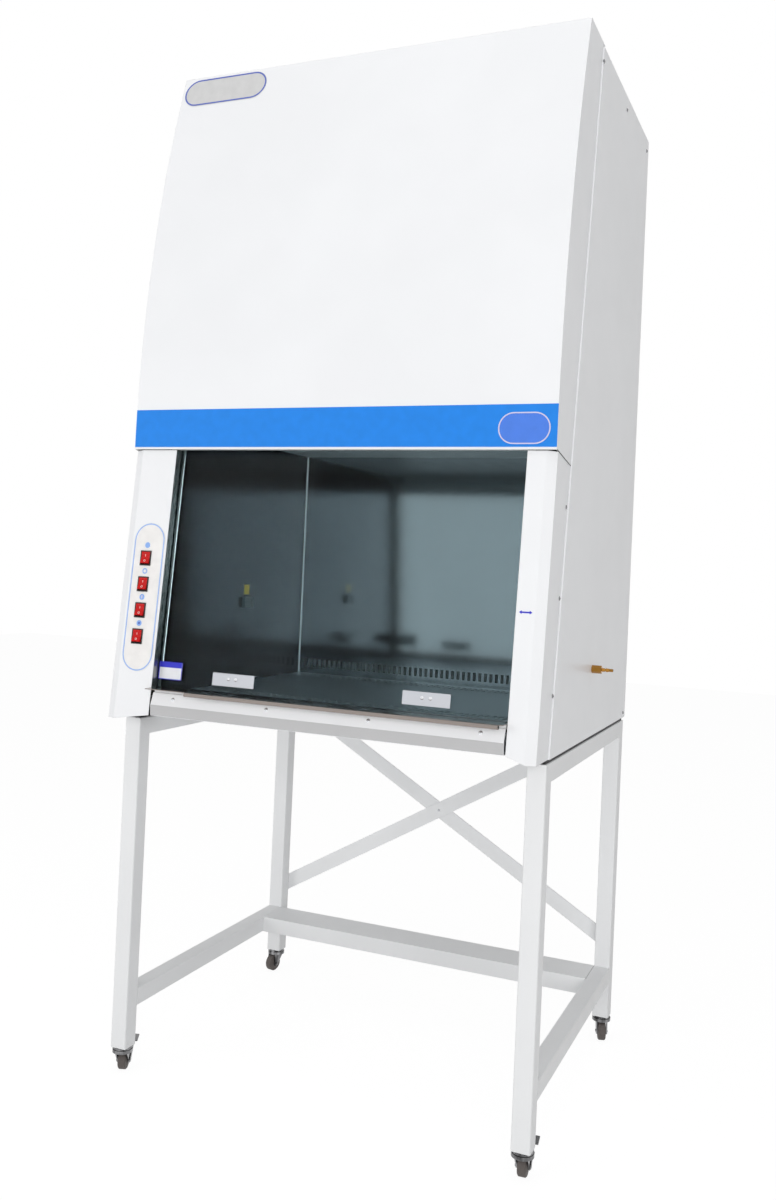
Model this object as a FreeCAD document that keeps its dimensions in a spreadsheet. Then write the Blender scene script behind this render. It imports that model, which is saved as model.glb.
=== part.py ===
# Vertical laminar flow cabinet on a wheeled stand.
# Millimetres, +Z up, +Y towards the back, origin on the floor under the centre of the stand.
import FreeCAD, Part
import os
import re

import Sketcher

V = FreeCAD.Vector
doc = FreeCAD.newDocument("vertical_laminar_flow_cabinet")
sizes = doc.addObject("Spreadsheet::Sheet", "Sizes")
places = doc.addObject("Spreadsheet::Sheet", "Places")
owners = {}


def bound(text, home=""):
    """Put its sheet's name before each alias in a formula, but not on its own sheet."""
    def path(word):
        sheet = owners.get(word.group(0), home)
        return word.group(0) if sheet == home else f"{sheet}.{word.group(0)}"
    return re.sub(r"[a-z][a-z_0-9]*", path, str(text))


def fill(sheet, rows, mark=""):
    """Write one row for each value: what it is, its cell and its alias."""
    owners.update({alias: sheet.Name for alias, _, _ in rows})
    for line, (alias, cell, note) in enumerate(rows, 1):
        sheet.set(f"A{line}", note)
        sheet.set(f"B{line}", mark + bound(cell, sheet.Name))
        sheet.setAlias(f"B{line}", alias)


SIZES = [
    # stand
    ("stand_width", 940, "outside width of the stand and of the cabinet"),
    ("stand_depth", 720, "outside depth of the stand"),
    ("stand_top", 772, "height of the stand's top rails above the floor"),
    ("tube_side", 38, "side of the square tube"),
    ("tube_wall", 1.5, "wall of the square tube"),
    ("tube_round", 3, "outer corner radius of the square tube"),
    ("low_rail_top", 177, "height of the top of the lower rails"),
    ("shelf_depth", 95, "depth of the rear cross channel"),
    ("shelf_sheet", 2, "sheet of the rear cross channel"),
    ("brace_width", 37, "width of the flat bars of the cross brace"),
    ("brace_sheet", 3, "thickness of the flat bars"),
    ("brace_drop", 28, "upper bar ends below the stand's top"),
    ("brace_bottom", 236, "height of the lower bar ends"),
    ("brace_inset", 34, "bar ends to the outside of the stand"),
    ("bolt_shank", 3, "radius of the stand's bolts"),
    ("hole_play", 0.2, "radial play of a bolt or gland in its hole"),
    ("bolt_head", 6.5, "radius of the stand's bolt heads"),
    ("bolt_height", 5, "height of the stand's bolt heads"),
    # casters
    ("caster_height", 56, "floor to the bottom of the legs"),
    ("wheel_radius", 21, "caster wheel"),
    ("wheel_width", 17, "caster tread"),
    ("tread_depth", 5, "thickness of the caster tread"),
    ("hub_width", 21, "caster hub"),
    ("trail", 12, "wheel axle to swivel axis"),
    ("axle_radius", 3, "caster axle"),
    ("running_gap", 0.05, "radial clearance of a running fit"),
    ("side_gap", 0.3, "clearance beside a moving piece"),
    ("fork_sheet", 2.5, "sheet of the caster fork"),
    ("crown_radius", 22, "round crown of the caster fork"),
    ("crown_top", 51, "height of the crown"),
    ("crown_rim", 7, "depth of the crown's turned rim"),
    ("cup_radius", 20, "race cup over the crown"),
    ("pin_head", 2, "height of the swivel pin's head"),
    ("rivet", 1.5, "axle's riveted ends outside the fork"),
    ("cheek_nose", 5, "fork around the axle"),
    ("king_radius", 5, "swivel pin"),
    ("stem_radius", 6, "stem in the leg plug"),
    ("stem_length", 28, "stem above the cup"),
    ("plug_length", 26, "leg plug"),
    ("pedal_sheet", 2.5, "thickness of the brake pedal"),
    ("pedal_half", 22, "half width of the brake pedal's toe plate"),
    ("pedal_start", 24, "toe plate's near edge behind the axle"),
    ("pedal_end", 40, "toe plate's far edge behind the axle"),
    ("pedal_low", 31, "toe plate's near edge above the axle"),
    ("pedal_high", 38, "toe plate's far edge above the axle"),
    ("pedal_arm", 1.5, "sheet of the brake pedal's arms"),
    ("turn_fl", 21, "rest angle of the front left caster"),
    ("turn_fr", 4, "rest angle of the front right caster"),
    ("turn_rl", 167, "rest angle of the rear left caster"),
    ("turn_rr", -161, "rest angle of the rear right caster"),
    # cabinet shell
    ("sheet", 1.2, "painted sheet"),
    ("seat_height", 7, "rubber seats between the stand and the cabinet"),
    ("seat_inset", 4, "rubber seats to the outside of the stand"),
    ("pan_front", -300, "front edge of the base pan"),
    ("head_room", 300, "top of the side panels above the blower's axis"),
    ("hood_step", 10, "top of the hood above the side panels"),
    ("back_face", 372, "rear edge of the side panels"),
    ("joint_foot", -344, "front edge of the side panels at their foot"),
    ("joint_lean", 8, "degrees the side panels' front edge leans back"),
    ("joint_lap", 22, "how far the strips pass under the side panels"),
    ("hem", 3, "depth of the side panels' front hem"),
    ("flange", 16, "flanges of the folded panels"),
    ("base_rim", 24, "upstand of the base pan"),
    ("hood_lap", 51, "hood's lower edge below the ceiling"),
    ("hood_front", -376, "front of the hood at its foot"),
    ("hood_radius", 3050, "curve of the hood"),
    ("tangent_drop", 12, "upright of the hood's curve below its edge"),
    ("hood_lip", 18, "inward lip under the hood"),
    ("hood_drop", 19, "drop of the hood's side flange at its rear"),
    ("band_foot", 5, "hood edge to the colour band"),
    ("band_height", 80, "colour band"),
    ("band_sheet", 0.6, "thickness of the colour band"),
    # front columns, drawn on a face that leans back
    ("face_foot", -433, "front of the columns at the stand's top"),
    ("face_lean", 6, "degrees the columns lean back"),
    ("open_left", 362, "opening's left edge from the middle"),
    ("open_right", 411, "opening's right edge from the middle"),
    ("bevel_width", 19, "bevel of the columns' outer corner"),
    ("bevel_depth", 8, "setback of that bevel"),
    ("column_gap", 0.5, "columns to the hood"),
    ("blank_low", -60, "lower end of the columns' sheet before it is cut"),
    ("blank_high", 700, "upper end of the columns' sheet before it is cut"),
    ("blank_depth", 300, "depth of the columns' sheet before it is cut"),
    # sash
    ("guide_width", 15, "sash guide"),
    ("guide_depth", 9.3, "guide behind the glass slot's front wall"),
    ("glass_depth", 18.5, "column face to the glass slot"),
    ("glass", 6, "thickness of the sash glass"),
    ("glass_play", 0.5, "play of the glass in its slot"),
    ("slot_bite", 10, "depth of the glass slot"),
    ("glass_height", 543, "height of the sash glass"),
    ("glass_seat", 0.3, "glass to the lip below it"),
    ("sash_travel", 300, "travel of the sash"),
    ("handle_width", 97, "sash handle"),
    ("handle_height", 26, "sash handle"),
    ("handle_reach", 9, "sash handle to the glass"),
    ("handle_sheet", 1.5, "sheet of the sash handle"),
    ("handle_foot", 95, "handle's lower edge on the face"),
    ("handle_left", -173, "middle of the left handle"),
    ("handle_right", 247, "middle of the right handle"),
    ("handle_pitch", 17, "distance between a handle's screws"),
    ("screw_radius", 3.5, "small screw heads"),
    # chamber
    ("liner", 1.2, "stainless liner"),
    ("chamber_back", 256, "front of the chamber's back wall"),
    ("deck_rise", 58, "work surface above the stand"),
    ("deck_sheet", 1.5, "sheet of the work surface"),
    ("chamber_height", 573, "work surface to the chamber's ceiling"),
    ("plenum_front", -296, "front of the filter plenum"),
    ("plenum_height", 297, "filter plenum above the ceiling"),
    ("slot_height", 21, "return slots in the back wall"),
    ("slot_width", 8, "return slots in the back wall"),
    ("slot_pitch", 14.4, "pitch of the return slots"),
    ("slot_rise", 16, "work surface to the return slots"),
    ("grille_depth", 70, "perforated strips of the work surface"),
    ("grille_margin", 14, "strips to the edges of the work surface"),
    ("grille_pitch", 34, "pitch of the slots in those strips"),
    ("grille_slot", 22, "length of the slots in those strips"),
    ("grille_gap", 8, "width of the slots in those strips"),
    ("diffuser_slot", 42, "length of the slots in the diffuser"),
    ("diffuser_gap", 12, "width of the slots in the diffuser"),
    ("diffuser_pitch", 60, "pitch of the diffuser's slots along them"),
    ("diffuser_rows", 60, "pitch of the diffuser's slots across them"),
    ("rest_width", 22, "angle rails under the work surface"),
    # lip and apron
    ("lip_rise", 20, "top of the front lip above the work surface"),
    ("lip_reach", 47, "front lip in front of the glass"),
    ("lip_bead", 4.5, "radius of the rolled edge"),
    ("bead_start", -264, "left end of the rolled edge"),
    ("apron_drop", 10, "apron's top below the front lip"),
    ("apron_upper", 24.5, "height of the apron's upper band"),
    ("apron_lower", 23, "height of the apron's lower band"),
    ("apron_proud", 2, "apron's fold in front of the columns"),
    ("apron_set", 4, "apron's top behind the columns"),
    ("apron_web", 12, "apron's web in front of the glass"),
    ("apron_gap", 4, "apron to the columns"),
    # switches
    ("plate_width", 77, "switch plate"),
    ("plate_length", 316, "switch plate"),
    ("plate_foot", 108, "lower end of the switch plate on the face"),
    ("plate_sheet", 1, "thickness of the switch plate"),
    ("switch_foot", 181.5, "lowest switch on the face"),
    ("switch_pitch", 55.4, "pitch of the switches"),
    ("switch_offset", 5, "switches left of the plate's middle"),
    ("bezel_width", 26, "switch bezel"),
    ("bezel_height", 32, "switch bezel"),
    ("bezel_rise", 2, "switch bezel above the plate"),
    ("bezel_wall", 2.3, "wall of the switch bezel"),
    ("switch_depth", 22, "switch body behind the column face"),
    ("switch_floor", 8, "closed rear of the switch body"),
    ("rocker_tilt", 9, "degrees the rocker leans either way"),
    ("pivot_depth", 2.5, "rocker's pivot behind the column face"),
    ("rocker_half", 12.5, "rocker's half height"),
    ("rocker_face", 7.5, "rocker's ends in front of its pivot"),
    ("pin_radius", 1.5, "rocker's trunnions"),
    ("pin_bite", 0.9, "how far the trunnions enter the switch walls"),
    # air path
    ("filter_height", 150, "filter"),
    ("filter_wall", 12, "frame of the filter"),
    ("filter_gap", 3, "filter to the plenum walls"),
    ("pleat_pitch", 30, "pitch of the filter's pleats"),
    ("paper", 1, "filter paper"),
    ("fan_radius", 112, "blower wheel"),
    ("fan_width", 118, "blower wheel"),
    ("blade_depth", 20, "radial depth of the blades"),
    ("blade_sheet", 1.2, "blade thickness"),
    ("blade_count", 24, "number of blades"),
    ("scroll_gap", 12, "wheel to the scroll where it starts"),
    ("scroll_step", 22, "growth of the scroll in each quarter"),
    ("fan_rise", 200, "axis of the blower above its deck"),
    ("fan_place", -20, "axis of the blower from the middle, front to back"),
    ("fan_gap", 8, "wheel to the blower's cheeks"),
    ("shaft_radius", 6, "blower shaft"),
    ("motor_radius", 55, "blower motor"),
    ("motor_length", 95, "blower motor"),
    ("motor_step", 14, "setback of the motor's end cap"),
    ("motor_cap", 12, "height of the motor's end cap"),
    ("boss_radius", 14, "boss of the blower wheel"),
    ("boss_length", 36, "boss of the blower wheel"),
    ("blade_sweep", 9, "sweep of each blade's tip"),
    ("blade_bow", 16, "curve of each blade"),
    ("intake_width", 420, "intake grille in the top panel"),
    ("intake_depth", 260, "intake grille in the top panel"),
    ("louvre_pitch", 26, "pitch of the intake slots"),
    ("louvre_width", 10, "width of the intake slots"),
    ("prefilter", 18, "thickness of the intake filter"),
    # lamps and fittings
    ("lamp_length", 640, "lamp batten"),
    ("lamp_width", 26, "lamp batten"),
    ("lamp_depth", 14, "lamp batten"),
    ("tube_lamp", 8, "radius of the lamp tube"),
    ("lamp_drop", 12, "batten to the axis of the tube"),
    ("lamp_place", -270, "room lamp, front to back"),
    ("germ_place", -238, "germicidal lamp, front to back"),
    ("socket_width", 40, "socket on the chamber wall"),
    ("socket_height", 26, "socket on the chamber wall"),
    ("socket_depth", 9, "socket on the chamber wall"),
    ("socket_place", -31, "socket, front to back"),
    ("socket_rise", 190, "socket above the work surface"),
    ("gas_place", -15, "gas inlet, front to back"),
    ("gas_rise", 94, "gas inlet above the work surface"),
    ("gas_nut", 8.5, "radius of the gas inlet's hexagon"),
    ("gas_body", 21, "length of the gas inlet's hexagon"),
    ("barb_pitch", 8, "pitch of the hose barbs"),
    ("gas_bore", 2.2, "bore of the gas inlet"),
    ("gas_barb", 4.2, "radius of the hose barbs"),
    ("gland_place", 300, "cable gland from the middle"),
    ("gland_rise", 70, "cable gland above the work surface"),
    ("gland_radius", 10, "cable gland"),
    ("gland_neck", 8, "cable gland in the rear panel"),
    ("gland_nut", 8, "cable gland's nut behind the rear panel"),
    ("gland_cap", 14, "cable gland outside the rear panel"),
    ("gland_tail", 19, "cable gland to its tip"),
    ("gland_bore", 4, "bore of the cable gland"),
]
fill(sizes, SIZES)

fill(places, [
    ("brace_top", "stand_top - brace_drop", "height of the upper bar ends"),
    ("shell_foot", "stand_top + seat_height", "underside of the cabinet"),
    ("deck_height", "stand_top + deck_rise", "work surface"),
    ("lip_top", "deck_height + lip_rise", "top of the front lip"),
    ("apron_top", "lip_top - apron_drop", "top of the apron's upper band"),
    ("apron_fold", "apron_top - apron_upper", "fold between the apron's bands"),
    ("apron_foot", "apron_fold - apron_lower", "lower edge of the apron"),
    ("ceiling", "deck_height + chamber_height", "chamber ceiling"),
    ("plenum_top", "ceiling + plenum_height", "deck that carries the blower"),
    ("fan_height", "plenum_top + fan_rise", "axis of the blower"),
    ("panel_top", "fan_height + head_room", "height of the side panels"),
    ("hood_top", "panel_top + hood_step", "height of the hood"),
    ("hood_bottom", "ceiling - hood_lap", "height of the hood's lower edge"),
    ("hood_tangent", "hood_bottom - tangent_drop", "height where the hood's curve is upright"),
    ("socket_level", "deck_height + socket_rise", "height of the socket"),
    ("gas_level", "deck_height + gas_rise", "height of the gas inlet"),
    ("gland_level", "deck_height + gland_rise", "height of the cable gland"),
    ("side_x", "stand_width / 2", "outside of the side panels"),
    ("shell_x", "side_x - sheet", "inside of the side panels"),
    ("strip_x", "side_x - hem", "outside of the hood and columns"),
    ("stand_y", "stand_depth / 2", "outside of the legs, front and back"),
    ("leg_x", "side_x - tube_side", "inner face of the legs"),
    ("leg_y", "stand_y - tube_side", "inner face of the legs"),
    ("low_rail_foot", "low_rail_top - tube_side", "underside of the lower rails"),
    ("joint_slope", "tan(joint_lean)", "setback of the joint line for each mm of height"),
    ("joint_top", "joint_foot + joint_slope * (panel_top - stand_top)", "joint line at the top"),
    ("joint_hood", "joint_foot + joint_slope * (hood_bottom - hood_drop - stand_top)",
     "joint line at the hood's foot"),
    ("hood_centre", "hood_front + hood_radius", "centre of the hood's curve"),
    ("hood_crest", "hood_centre - sqrt(hood_radius ^ 2 - (hood_top - hood_tangent) ^ 2)",
     "front of the hood at its top"),
    ("hood_foot", "hood_centre - sqrt(hood_radius ^ 2 - (hood_bottom - hood_tangent) ^ 2)",
     "front of the hood at its bottom"),
    ("lean_sin", "sin(face_lean)", "lean of the columns"),
    ("lean_cos", "cos(face_lean)", "lean of the columns"),
    ("lean_tan", "tan(face_lean)", "lean of the columns"),
    ("glass_front", "glass_depth + glass_play", "front of the glass behind the column face"),
    ("glass_back", "glass_front + glass", "back of the glass behind the column face"),
    ("guide_back", "glass_back + glass_play + guide_depth", "back of the guides"),
    ("glass_foot", "(lip_top + glass_seat - stand_top + glass_back * lean_sin) / lean_cos",
     "lower edge of the glass on the face"),
    ("guide_foot", "(deck_height - stand_top + guide_back * lean_sin) / lean_cos + side_gap",
     "lower end of the guides on the face"),
    ("guide_top", "(plenum_top - stand_top) / lean_cos", "upper end of the guides on the face"),
    ("wall_left", "-(open_left + guide_width)", "chamber's left wall, inside"),
    ("wall_right", "open_right + guide_width", "chamber's right wall, inside"),
    ("base_top", "shell_foot + sheet", "top of the base pan"),
    ("joint_low", "joint_foot + joint_slope * (shell_foot - stand_top)",
     "joint line at the cabinet's underside"),
    ("face_deck", "face_foot + (deck_height - stand_top) * lean_tan", "column face at the deck"),
    ("lip_back", "face_deck + guide_back + 2", "rear edge of the lip"),
    ("deck_front", "lip_back - 20", "front edge of the work surface, under the lip"),
    ("lip_face", "face_foot + (lip_top - stand_top) * lean_tan + glass_front",
     "front of the glass at the lip"),
    ("lip_front", "lip_face - lip_reach", "front of the rolled edge"),
    ("deck_foot", "deck_height - deck_sheet", "underside of the work surface"),
    ("filter_foot", "ceiling + liner", "underside of the filter"),
    ("filter_top", "filter_foot + filter_height", "top of the filter"),
    ("hub_half", "hub_width / 2", "half the caster hub"),
    ("fork_half", "hub_half + side_gap", "inner faces of the fork"),
    ("fork_out", "fork_half + fork_sheet", "outer faces of the fork"),
    ("crown_foot", "crown_top - fork_sheet", "underside of the crown"),
    ("race_foot", "crown_top + side_gap", "underside of the race cup"),
    ("fan_half", "fan_width / 2", "half the blower wheel"),
    ("cheek_half", "fan_half + fan_gap", "inner faces of the blower's cheeks"),
    ("scroll_start", "fan_radius + scroll_gap", "radius of the scroll where it starts"),
    ("scroll_end", "scroll_start + 2 * scroll_step", "radius of the scroll where it ends"),
    ("outlet_front", "fan_place - scroll_step - scroll_end", "front wall of the blower's outlet"),
    ("cheek_out", "cheek_half + sheet", "outer faces of the blower's cheeks"),
    ("plate_x", "-(open_left + strip_x - bevel_width) / 2", "middle of the switch plate"),
    ("switch_x", "plate_x - switch_offset", "middle of the switches"),
], "=")

doc.recompute()


def number(text):
    """The value of a formula now, to draw a sketch near its solution."""
    return float(sizes.evalExpression(bound(text)))


NORMALS = {"XY": 1, "XZ": -1, "YZ": 1}


def body(label):
    made = doc.addObject("PartDesign::Body", label)
    made.Label = label
    return made


def hold(drawing, name, value):
    drawing.setExpression(f"Constraints[{name}]", bound(value))


def pin(drawing, edge, end, x, y):
    """Tie one end of an edge to the sketch's origin by two bound distances."""
    for kind, value in (("DistanceX", x), ("DistanceY", y)):
        name = drawing.addConstraint(Sketcher.Constraint(kind, -1, 1, edge, end, number(value)))
        hold(drawing, name, value)


def draw_circle(drawing, x, y, radius):
    round_edge = Part.Circle(V(number(x), number(y), 0), V(0, 0, 1), number(radius))
    edge = drawing.addGeometry(round_edge, False)
    pin(drawing, edge, 3, x, y)
    name = drawing.addConstraint(Sketcher.Constraint("Radius", edge, number(radius)))
    hold(drawing, name, radius)


def draw_outline(drawing, points):
    """A closed outline. A point's third value bends the edge that follows it: its radius, and
    its sign tells whether the edge turns to the left or to the right."""
    spots = [V(number(p[0]), number(p[1]), 0) for p in points]
    edges = []
    for i, point in enumerate(points):
        start, end = spots[i], spots[(i + 1) % len(spots)]
        if len(point) == 2:
            edges.append((drawing.addGeometry(Part.LineSegment(start, end), False), 1, 2))
            continue
        radius, left = point[2].lstrip("-"), not point[2].startswith("-")
        half = (end - start) * 0.5
        rise = (max(number(radius) ** 2 - half.Length ** 2, 0.0)) ** 0.5
        across = V(-half.y, half.x, 0).normalize() * (rise if left else -rise)
        centre = start + half + across
        first, last = (start, end) if left else (end, start)
        angles = [FreeCAD.Vector(1, 0, 0).getAngle(p - centre) * (1 if p.y >= centre.y else -1)
                  for p in (first, last)]
        whole = Part.Circle(centre, V(0, 0, 1), number(radius))
        edge = drawing.addGeometry(Part.ArcOfCircle(whole, angles[0], angles[1]), False)
        edges.append((edge, 1, 2) if left else (edge, 2, 1))
        name = drawing.addConstraint(Sketcher.Constraint("Radius", edge, number(radius)))
        hold(drawing, name, radius)
    for i, (edge, start, end) in enumerate(edges):
        after, begin, _ = edges[(i + 1) % len(edges)]
        drawing.addConstraint(Sketcher.Constraint("Coincident", edge, end, after, begin))
    for (edge, start, _), point in zip(edges, points):
        pin(drawing, edge, start, point[0], point[1])


def sketch(owner, plane, at, loops):
    drawing = owner.newObject("Sketcher::SketchObject", "Sketch")
    face = next(f for f in owner.Origin.OriginFeatures if f.Role == plane + "_Plane")
    drawing.AttachmentSupport = [(face, "")]
    drawing.MapMode = "FlatFace"
    drawing.setExpression("AttachmentOffset.Base.z", bound(f"({at}) * {NORMALS[plane]}"))
    for loop in loops:
        if loop[0] == "round":
            draw_circle(drawing, *loop[1:])
        else:
            draw_outline(drawing, loop)
    return drawing


def add(owner, plane, start, end, *loops):
    """Pad the loops from one level to the next, along the plane's own axis."""
    pad = owner.newObject("PartDesign::Pad", "Pad")
    pad.Profile = sketch(owner, plane, start, loops)
    pad.setExpression("Length", bound(f"({end}) - ({start})"))
    pad.Reversed = plane == "XZ"
    return pad


def cut(owner, plane, start, end, *loops):
    """Pocket the loops from one level to the next."""
    pocket = owner.newObject("PartDesign::Pocket", "Pocket")
    pocket.Profile = sketch(owner, plane, start, loops)
    pocket.setExpression("Length", bound(f"({end}) - ({start})"))
    pocket.Reversed = plane != "XZ"
    return pocket


def turn(owner, loop, plane="XZ", kind="Revolution"):
    """Revolve an outline about the sketch's upright axis."""
    made = owner.newObject("PartDesign::" + kind, kind)
    made.Profile = sketch(owner, plane, "0", [loop])
    made.ReferenceAxis = (made.Profile[0], ["V_Axis"])
    made.Angle = 360
    return made


def repeat(owner, feature, axis, pitch, count):
    """Copy a feature along one of the body's axes."""
    row = owner.newObject("PartDesign::LinearPattern", "Row")
    row.Originals = [feature]
    line = next(f for f in owner.Origin.OriginFeatures if f.Role == axis + "_Axis")
    row.Direction = (line, [""])
    row.Mode = "Spacing"
    row.setExpression("Offset", bound(pitch))
    row.setExpression("Occurrences", bound(count))
    owner.Tip = row
    return row


def box(x0, x1, y0, y1):
    """A rectangle in a sketch."""
    return [(x0, y0), (x1, y0), (x1, y1), (x0, y1)]


def soft_box(x0, x1, y0, y1, radius):
    """A rectangle with round corners."""
    left, right = f"({x0}) + ({radius})", f"({x1}) - ({radius})"
    low, high = f"({y0}) + ({radius})", f"({y1}) - ({radius})"
    return [(left, y0), (right, y0, radius), (x1, low), (x1, high, radius),
            (right, y1), (left, y1, radius), (x0, high), (x0, low, radius)]


def lean(owner):
    """Stand a body on the leaning face of the columns, with its own z up that face."""
    owner.Placement = FreeCAD.Placement(V(0, 0, 0), FreeCAD.Rotation(V(1, 0, 0), -1))
    owner.setExpression("Placement.Base.y", bound("face_foot"))
    owner.setExpression("Placement.Base.z", bound("stand_top"))
    owner.setExpression("Placement.Rotation.Angle", bound("-face_lean"))
    return owner


def on_face(y, z):
    """A place in the cabinet's own frame, told as depth and height on the leaning face."""
    deep, high = f"(({y}) - face_foot)", f"(({z}) - stand_top)"
    return (f"{deep} * lean_cos - {high} * lean_sin", f"{deep} * lean_sin + {high} * lean_cos")


def cylinder(label, radius, length, base, axis):
    """A Part cylinder with its size, base point and direction bound to the sheets."""
    made = doc.addObject("Part::Cylinder", label)
    made.setExpression("Radius", bound(radius))
    made.setExpression("Height", bound(length))
    turns = {"x": FreeCAD.Rotation(V(0, 1, 0), 90), "-x": FreeCAD.Rotation(V(0, 1, 0), -90),
             "y": FreeCAD.Rotation(V(1, 0, 0), -90), "-y": FreeCAD.Rotation(V(1, 0, 0), 90),
             "z": FreeCAD.Rotation()}
    made.Placement = FreeCAD.Placement(V(0, 0, 0), turns[axis])
    for way, value in zip("xyz", base):
        made.setExpression("Placement.Base." + way, bound(value))
    return made


def group(label, members):
    """Several like solids under one name."""
    made = doc.addObject("Part::Compound", label)
    made.Label = label
    made.Links = members
    return made


parts = []


def keep(piece):
    parts.append(piece)
    return piece


# Stand: two welded side frames of square tube, a folded cross channel and a bolted cross brace.

def square_tube(owner, plane, start, end, x0, y0):
    """Square tube with its lower left corner at x0, y0."""
    inner = "tube_round - tube_wall"
    add(owner, plane, start, end,
        soft_box(x0, f"({x0}) + tube_side", y0, f"({y0}) + tube_side", "tube_round"),
        soft_box(f"({x0}) + tube_wall", f"({x0}) + tube_side - tube_wall",
                 f"({y0}) + tube_wall", f"({y0}) + tube_side - tube_wall", inner))


def leg(x0, front):
    """A leg, mitred at its top to meet the top rail."""
    made = body("Leg")
    y0 = "-stand_y" if front else "leg_y"
    square_tube(made, "XY", "caster_height", "stand_top", x0, y0)
    outer = "-stand_y" if front else "stand_y"
    inner = "-leg_y" if front else "leg_y"
    wedge = [(outer, "stand_top"), (inner, "stand_top - tube_side"), (inner, "stand_top")]
    cut(made, "YZ", x0, f"({x0}) + tube_side", wedge)
    return made


def top_rail(x0):
    """A top rail, mitred at both ends."""
    made = body("TopRail")
    square_tube(made, "XZ", "-stand_y", "stand_y", x0, "stand_top - tube_side")
    for outer, inner in (("-stand_y", "-leg_y"), ("stand_y", "leg_y")):
        wedge = [(outer, "stand_top"), (inner, "stand_top - tube_side"),
                 (outer, "stand_top - tube_side")]
        cut(made, "YZ", x0, f"({x0}) + tube_side", wedge)
    return made


def low_rail(x0):
    """A lower rail, between the front and rear legs."""
    made = body("LowRail")
    square_tube(made, "XZ", "-leg_y", "leg_y", x0, "low_rail_foot")
    return made


FRAMES = ("-side_x", "leg_x")
keep(group("stand_legs_front", [leg(x0, True) for x0 in FRAMES]))
keep(group("stand_legs_rear", [leg(x0, False) for x0 in FRAMES]))
keep(group("stand_top_rails", [top_rail(x0) for x0 in FRAMES]))
keep(group("stand_lower_rails", [low_rail(x0) for x0 in FRAMES]))

channel = body("stand_cross_channel")
fold = "shelf_sheet"
add(channel, "YZ", "-leg_x", "leg_x", [
    ("leg_y - shelf_depth", "low_rail_foot"), (f"leg_y - shelf_depth + {fold}", "low_rail_foot"),
    (f"leg_y - shelf_depth + {fold}", f"low_rail_top - {fold}"),
    (f"leg_y - {fold}", f"low_rail_top - {fold}"), (f"leg_y - {fold}", "low_rail_foot"),
    ("leg_y", "low_rail_foot"), ("leg_y", "low_rail_top"),
    ("leg_y - shelf_depth", "low_rail_top")])
for x0, x1 in (("-leg_x", f"-leg_x + {fold}"), (f"leg_x - {fold}", "leg_x")):
    add(channel, "YZ", x0, x1,
        box("leg_y - shelf_depth", "leg_y", "low_rail_foot", "low_rail_top"))
keep(channel)


half_span = "(side_x - brace_inset)"
half_rise = "((brace_top - brace_bottom) / 2)"
crossing = "(brace_top + brace_bottom) / 2"


def brace(label, start, end, rising):
    """A flat bar across the backs of the rear legs, with a bolt hole at each end and one midway."""
    made = body(label)
    reach = f"sqrt({half_span} ^ 2 + {half_rise} ^ 2)"
    tail = f"({reach} + brace_width / 2)"
    holes = [("round", x, "0", "bolt_shank + hole_play") for x in (f"-{reach}", "0", reach)]
    add(made, "XZ", start, end,
        soft_box(f"-{tail}", tail, "-brace_width / 2", "brace_width / 2", "brace_width / 4"),
        *holes)
    made.Placement = FreeCAD.Placement(V(0, 0, 0), FreeCAD.Rotation(V(0, 1, 0), 1))
    made.setExpression("Placement.Base.z", bound(crossing))
    way = "-" if rising else ""
    made.setExpression("Placement.Rotation.Angle", bound(f"{way}atan({half_rise} / {half_span})"))
    return keep(made)


brace("cross_brace_rising", "stand_y", "stand_y + brace_sheet", True)
brace("cross_brace_falling", "stand_y + brace_sheet", "stand_y + brace_sheet * 2", False)


def bolt(x, y, z, reach):
    """A bolt: its shank runs in from the seat, its hexagon head stands out to the rear."""
    shank = cylinder("Shank", "bolt_shank", reach, (x, y, z), "-y")
    head = doc.addObject("Part::Prism", "Head")
    head.Polygon = 6
    head.setExpression("Circumradius", bound("bolt_head"))
    head.setExpression("Height", bound("bolt_height"))
    head.Placement = FreeCAD.Placement(V(0, 0, 0), FreeCAD.Rotation(V(1, 0, 0), -90))
    for way, value in zip("xyz", (x, y, z)):
        head.setExpression("Placement.Base." + way, bound(value))
    whole = doc.addObject("Part::Fuse", "Bolt")
    whole.Base, whole.Tool = shank, head
    return whole


bolts = [("0", "stand_y + brace_sheet * 2", crossing, "brace_sheet * 2")]
for x, z, seat in ((f"-{half_span}", "brace_bottom", "stand_y + brace_sheet"),
                   (half_span, "brace_top", "stand_y + brace_sheet"),
                   (half_span, "brace_bottom", "stand_y + brace_sheet * 2"),
                   (f"-{half_span}", "brace_top", "stand_y + brace_sheet * 2")):
    bolts.append((x, seat, z, f"({seat}) - stand_y"))
keep(group("stand_bolts", [bolt(*seat) for seat in bolts]))

# Casters: a race cup and stem fixed in each leg, a fork that swivels, a wheel and, in front, a brake.

CORNERS = {"fl": ("-(side_x - tube_side / 2)", "-(stand_y - tube_side / 2)"),
           "fr": ("side_x - tube_side / 2", "-(stand_y - tube_side / 2)"),
           "rl": ("-(side_x - tube_side / 2)", "stand_y - tube_side / 2"),
           "rr": ("side_x - tube_side / 2", "stand_y - tube_side / 2")}


def at_corner(made, corner, turned=True):
    """Put a piece drawn about the swivel axis on its leg."""
    x, y = CORNERS[corner]
    made.setExpression("Placement.Base.x", bound(x))
    made.setExpression("Placement.Base.y", bound(y))
    if turned:
        made.setExpression("Placement.Rotation.Angle", bound("turn_" + corner))
    return made


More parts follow.
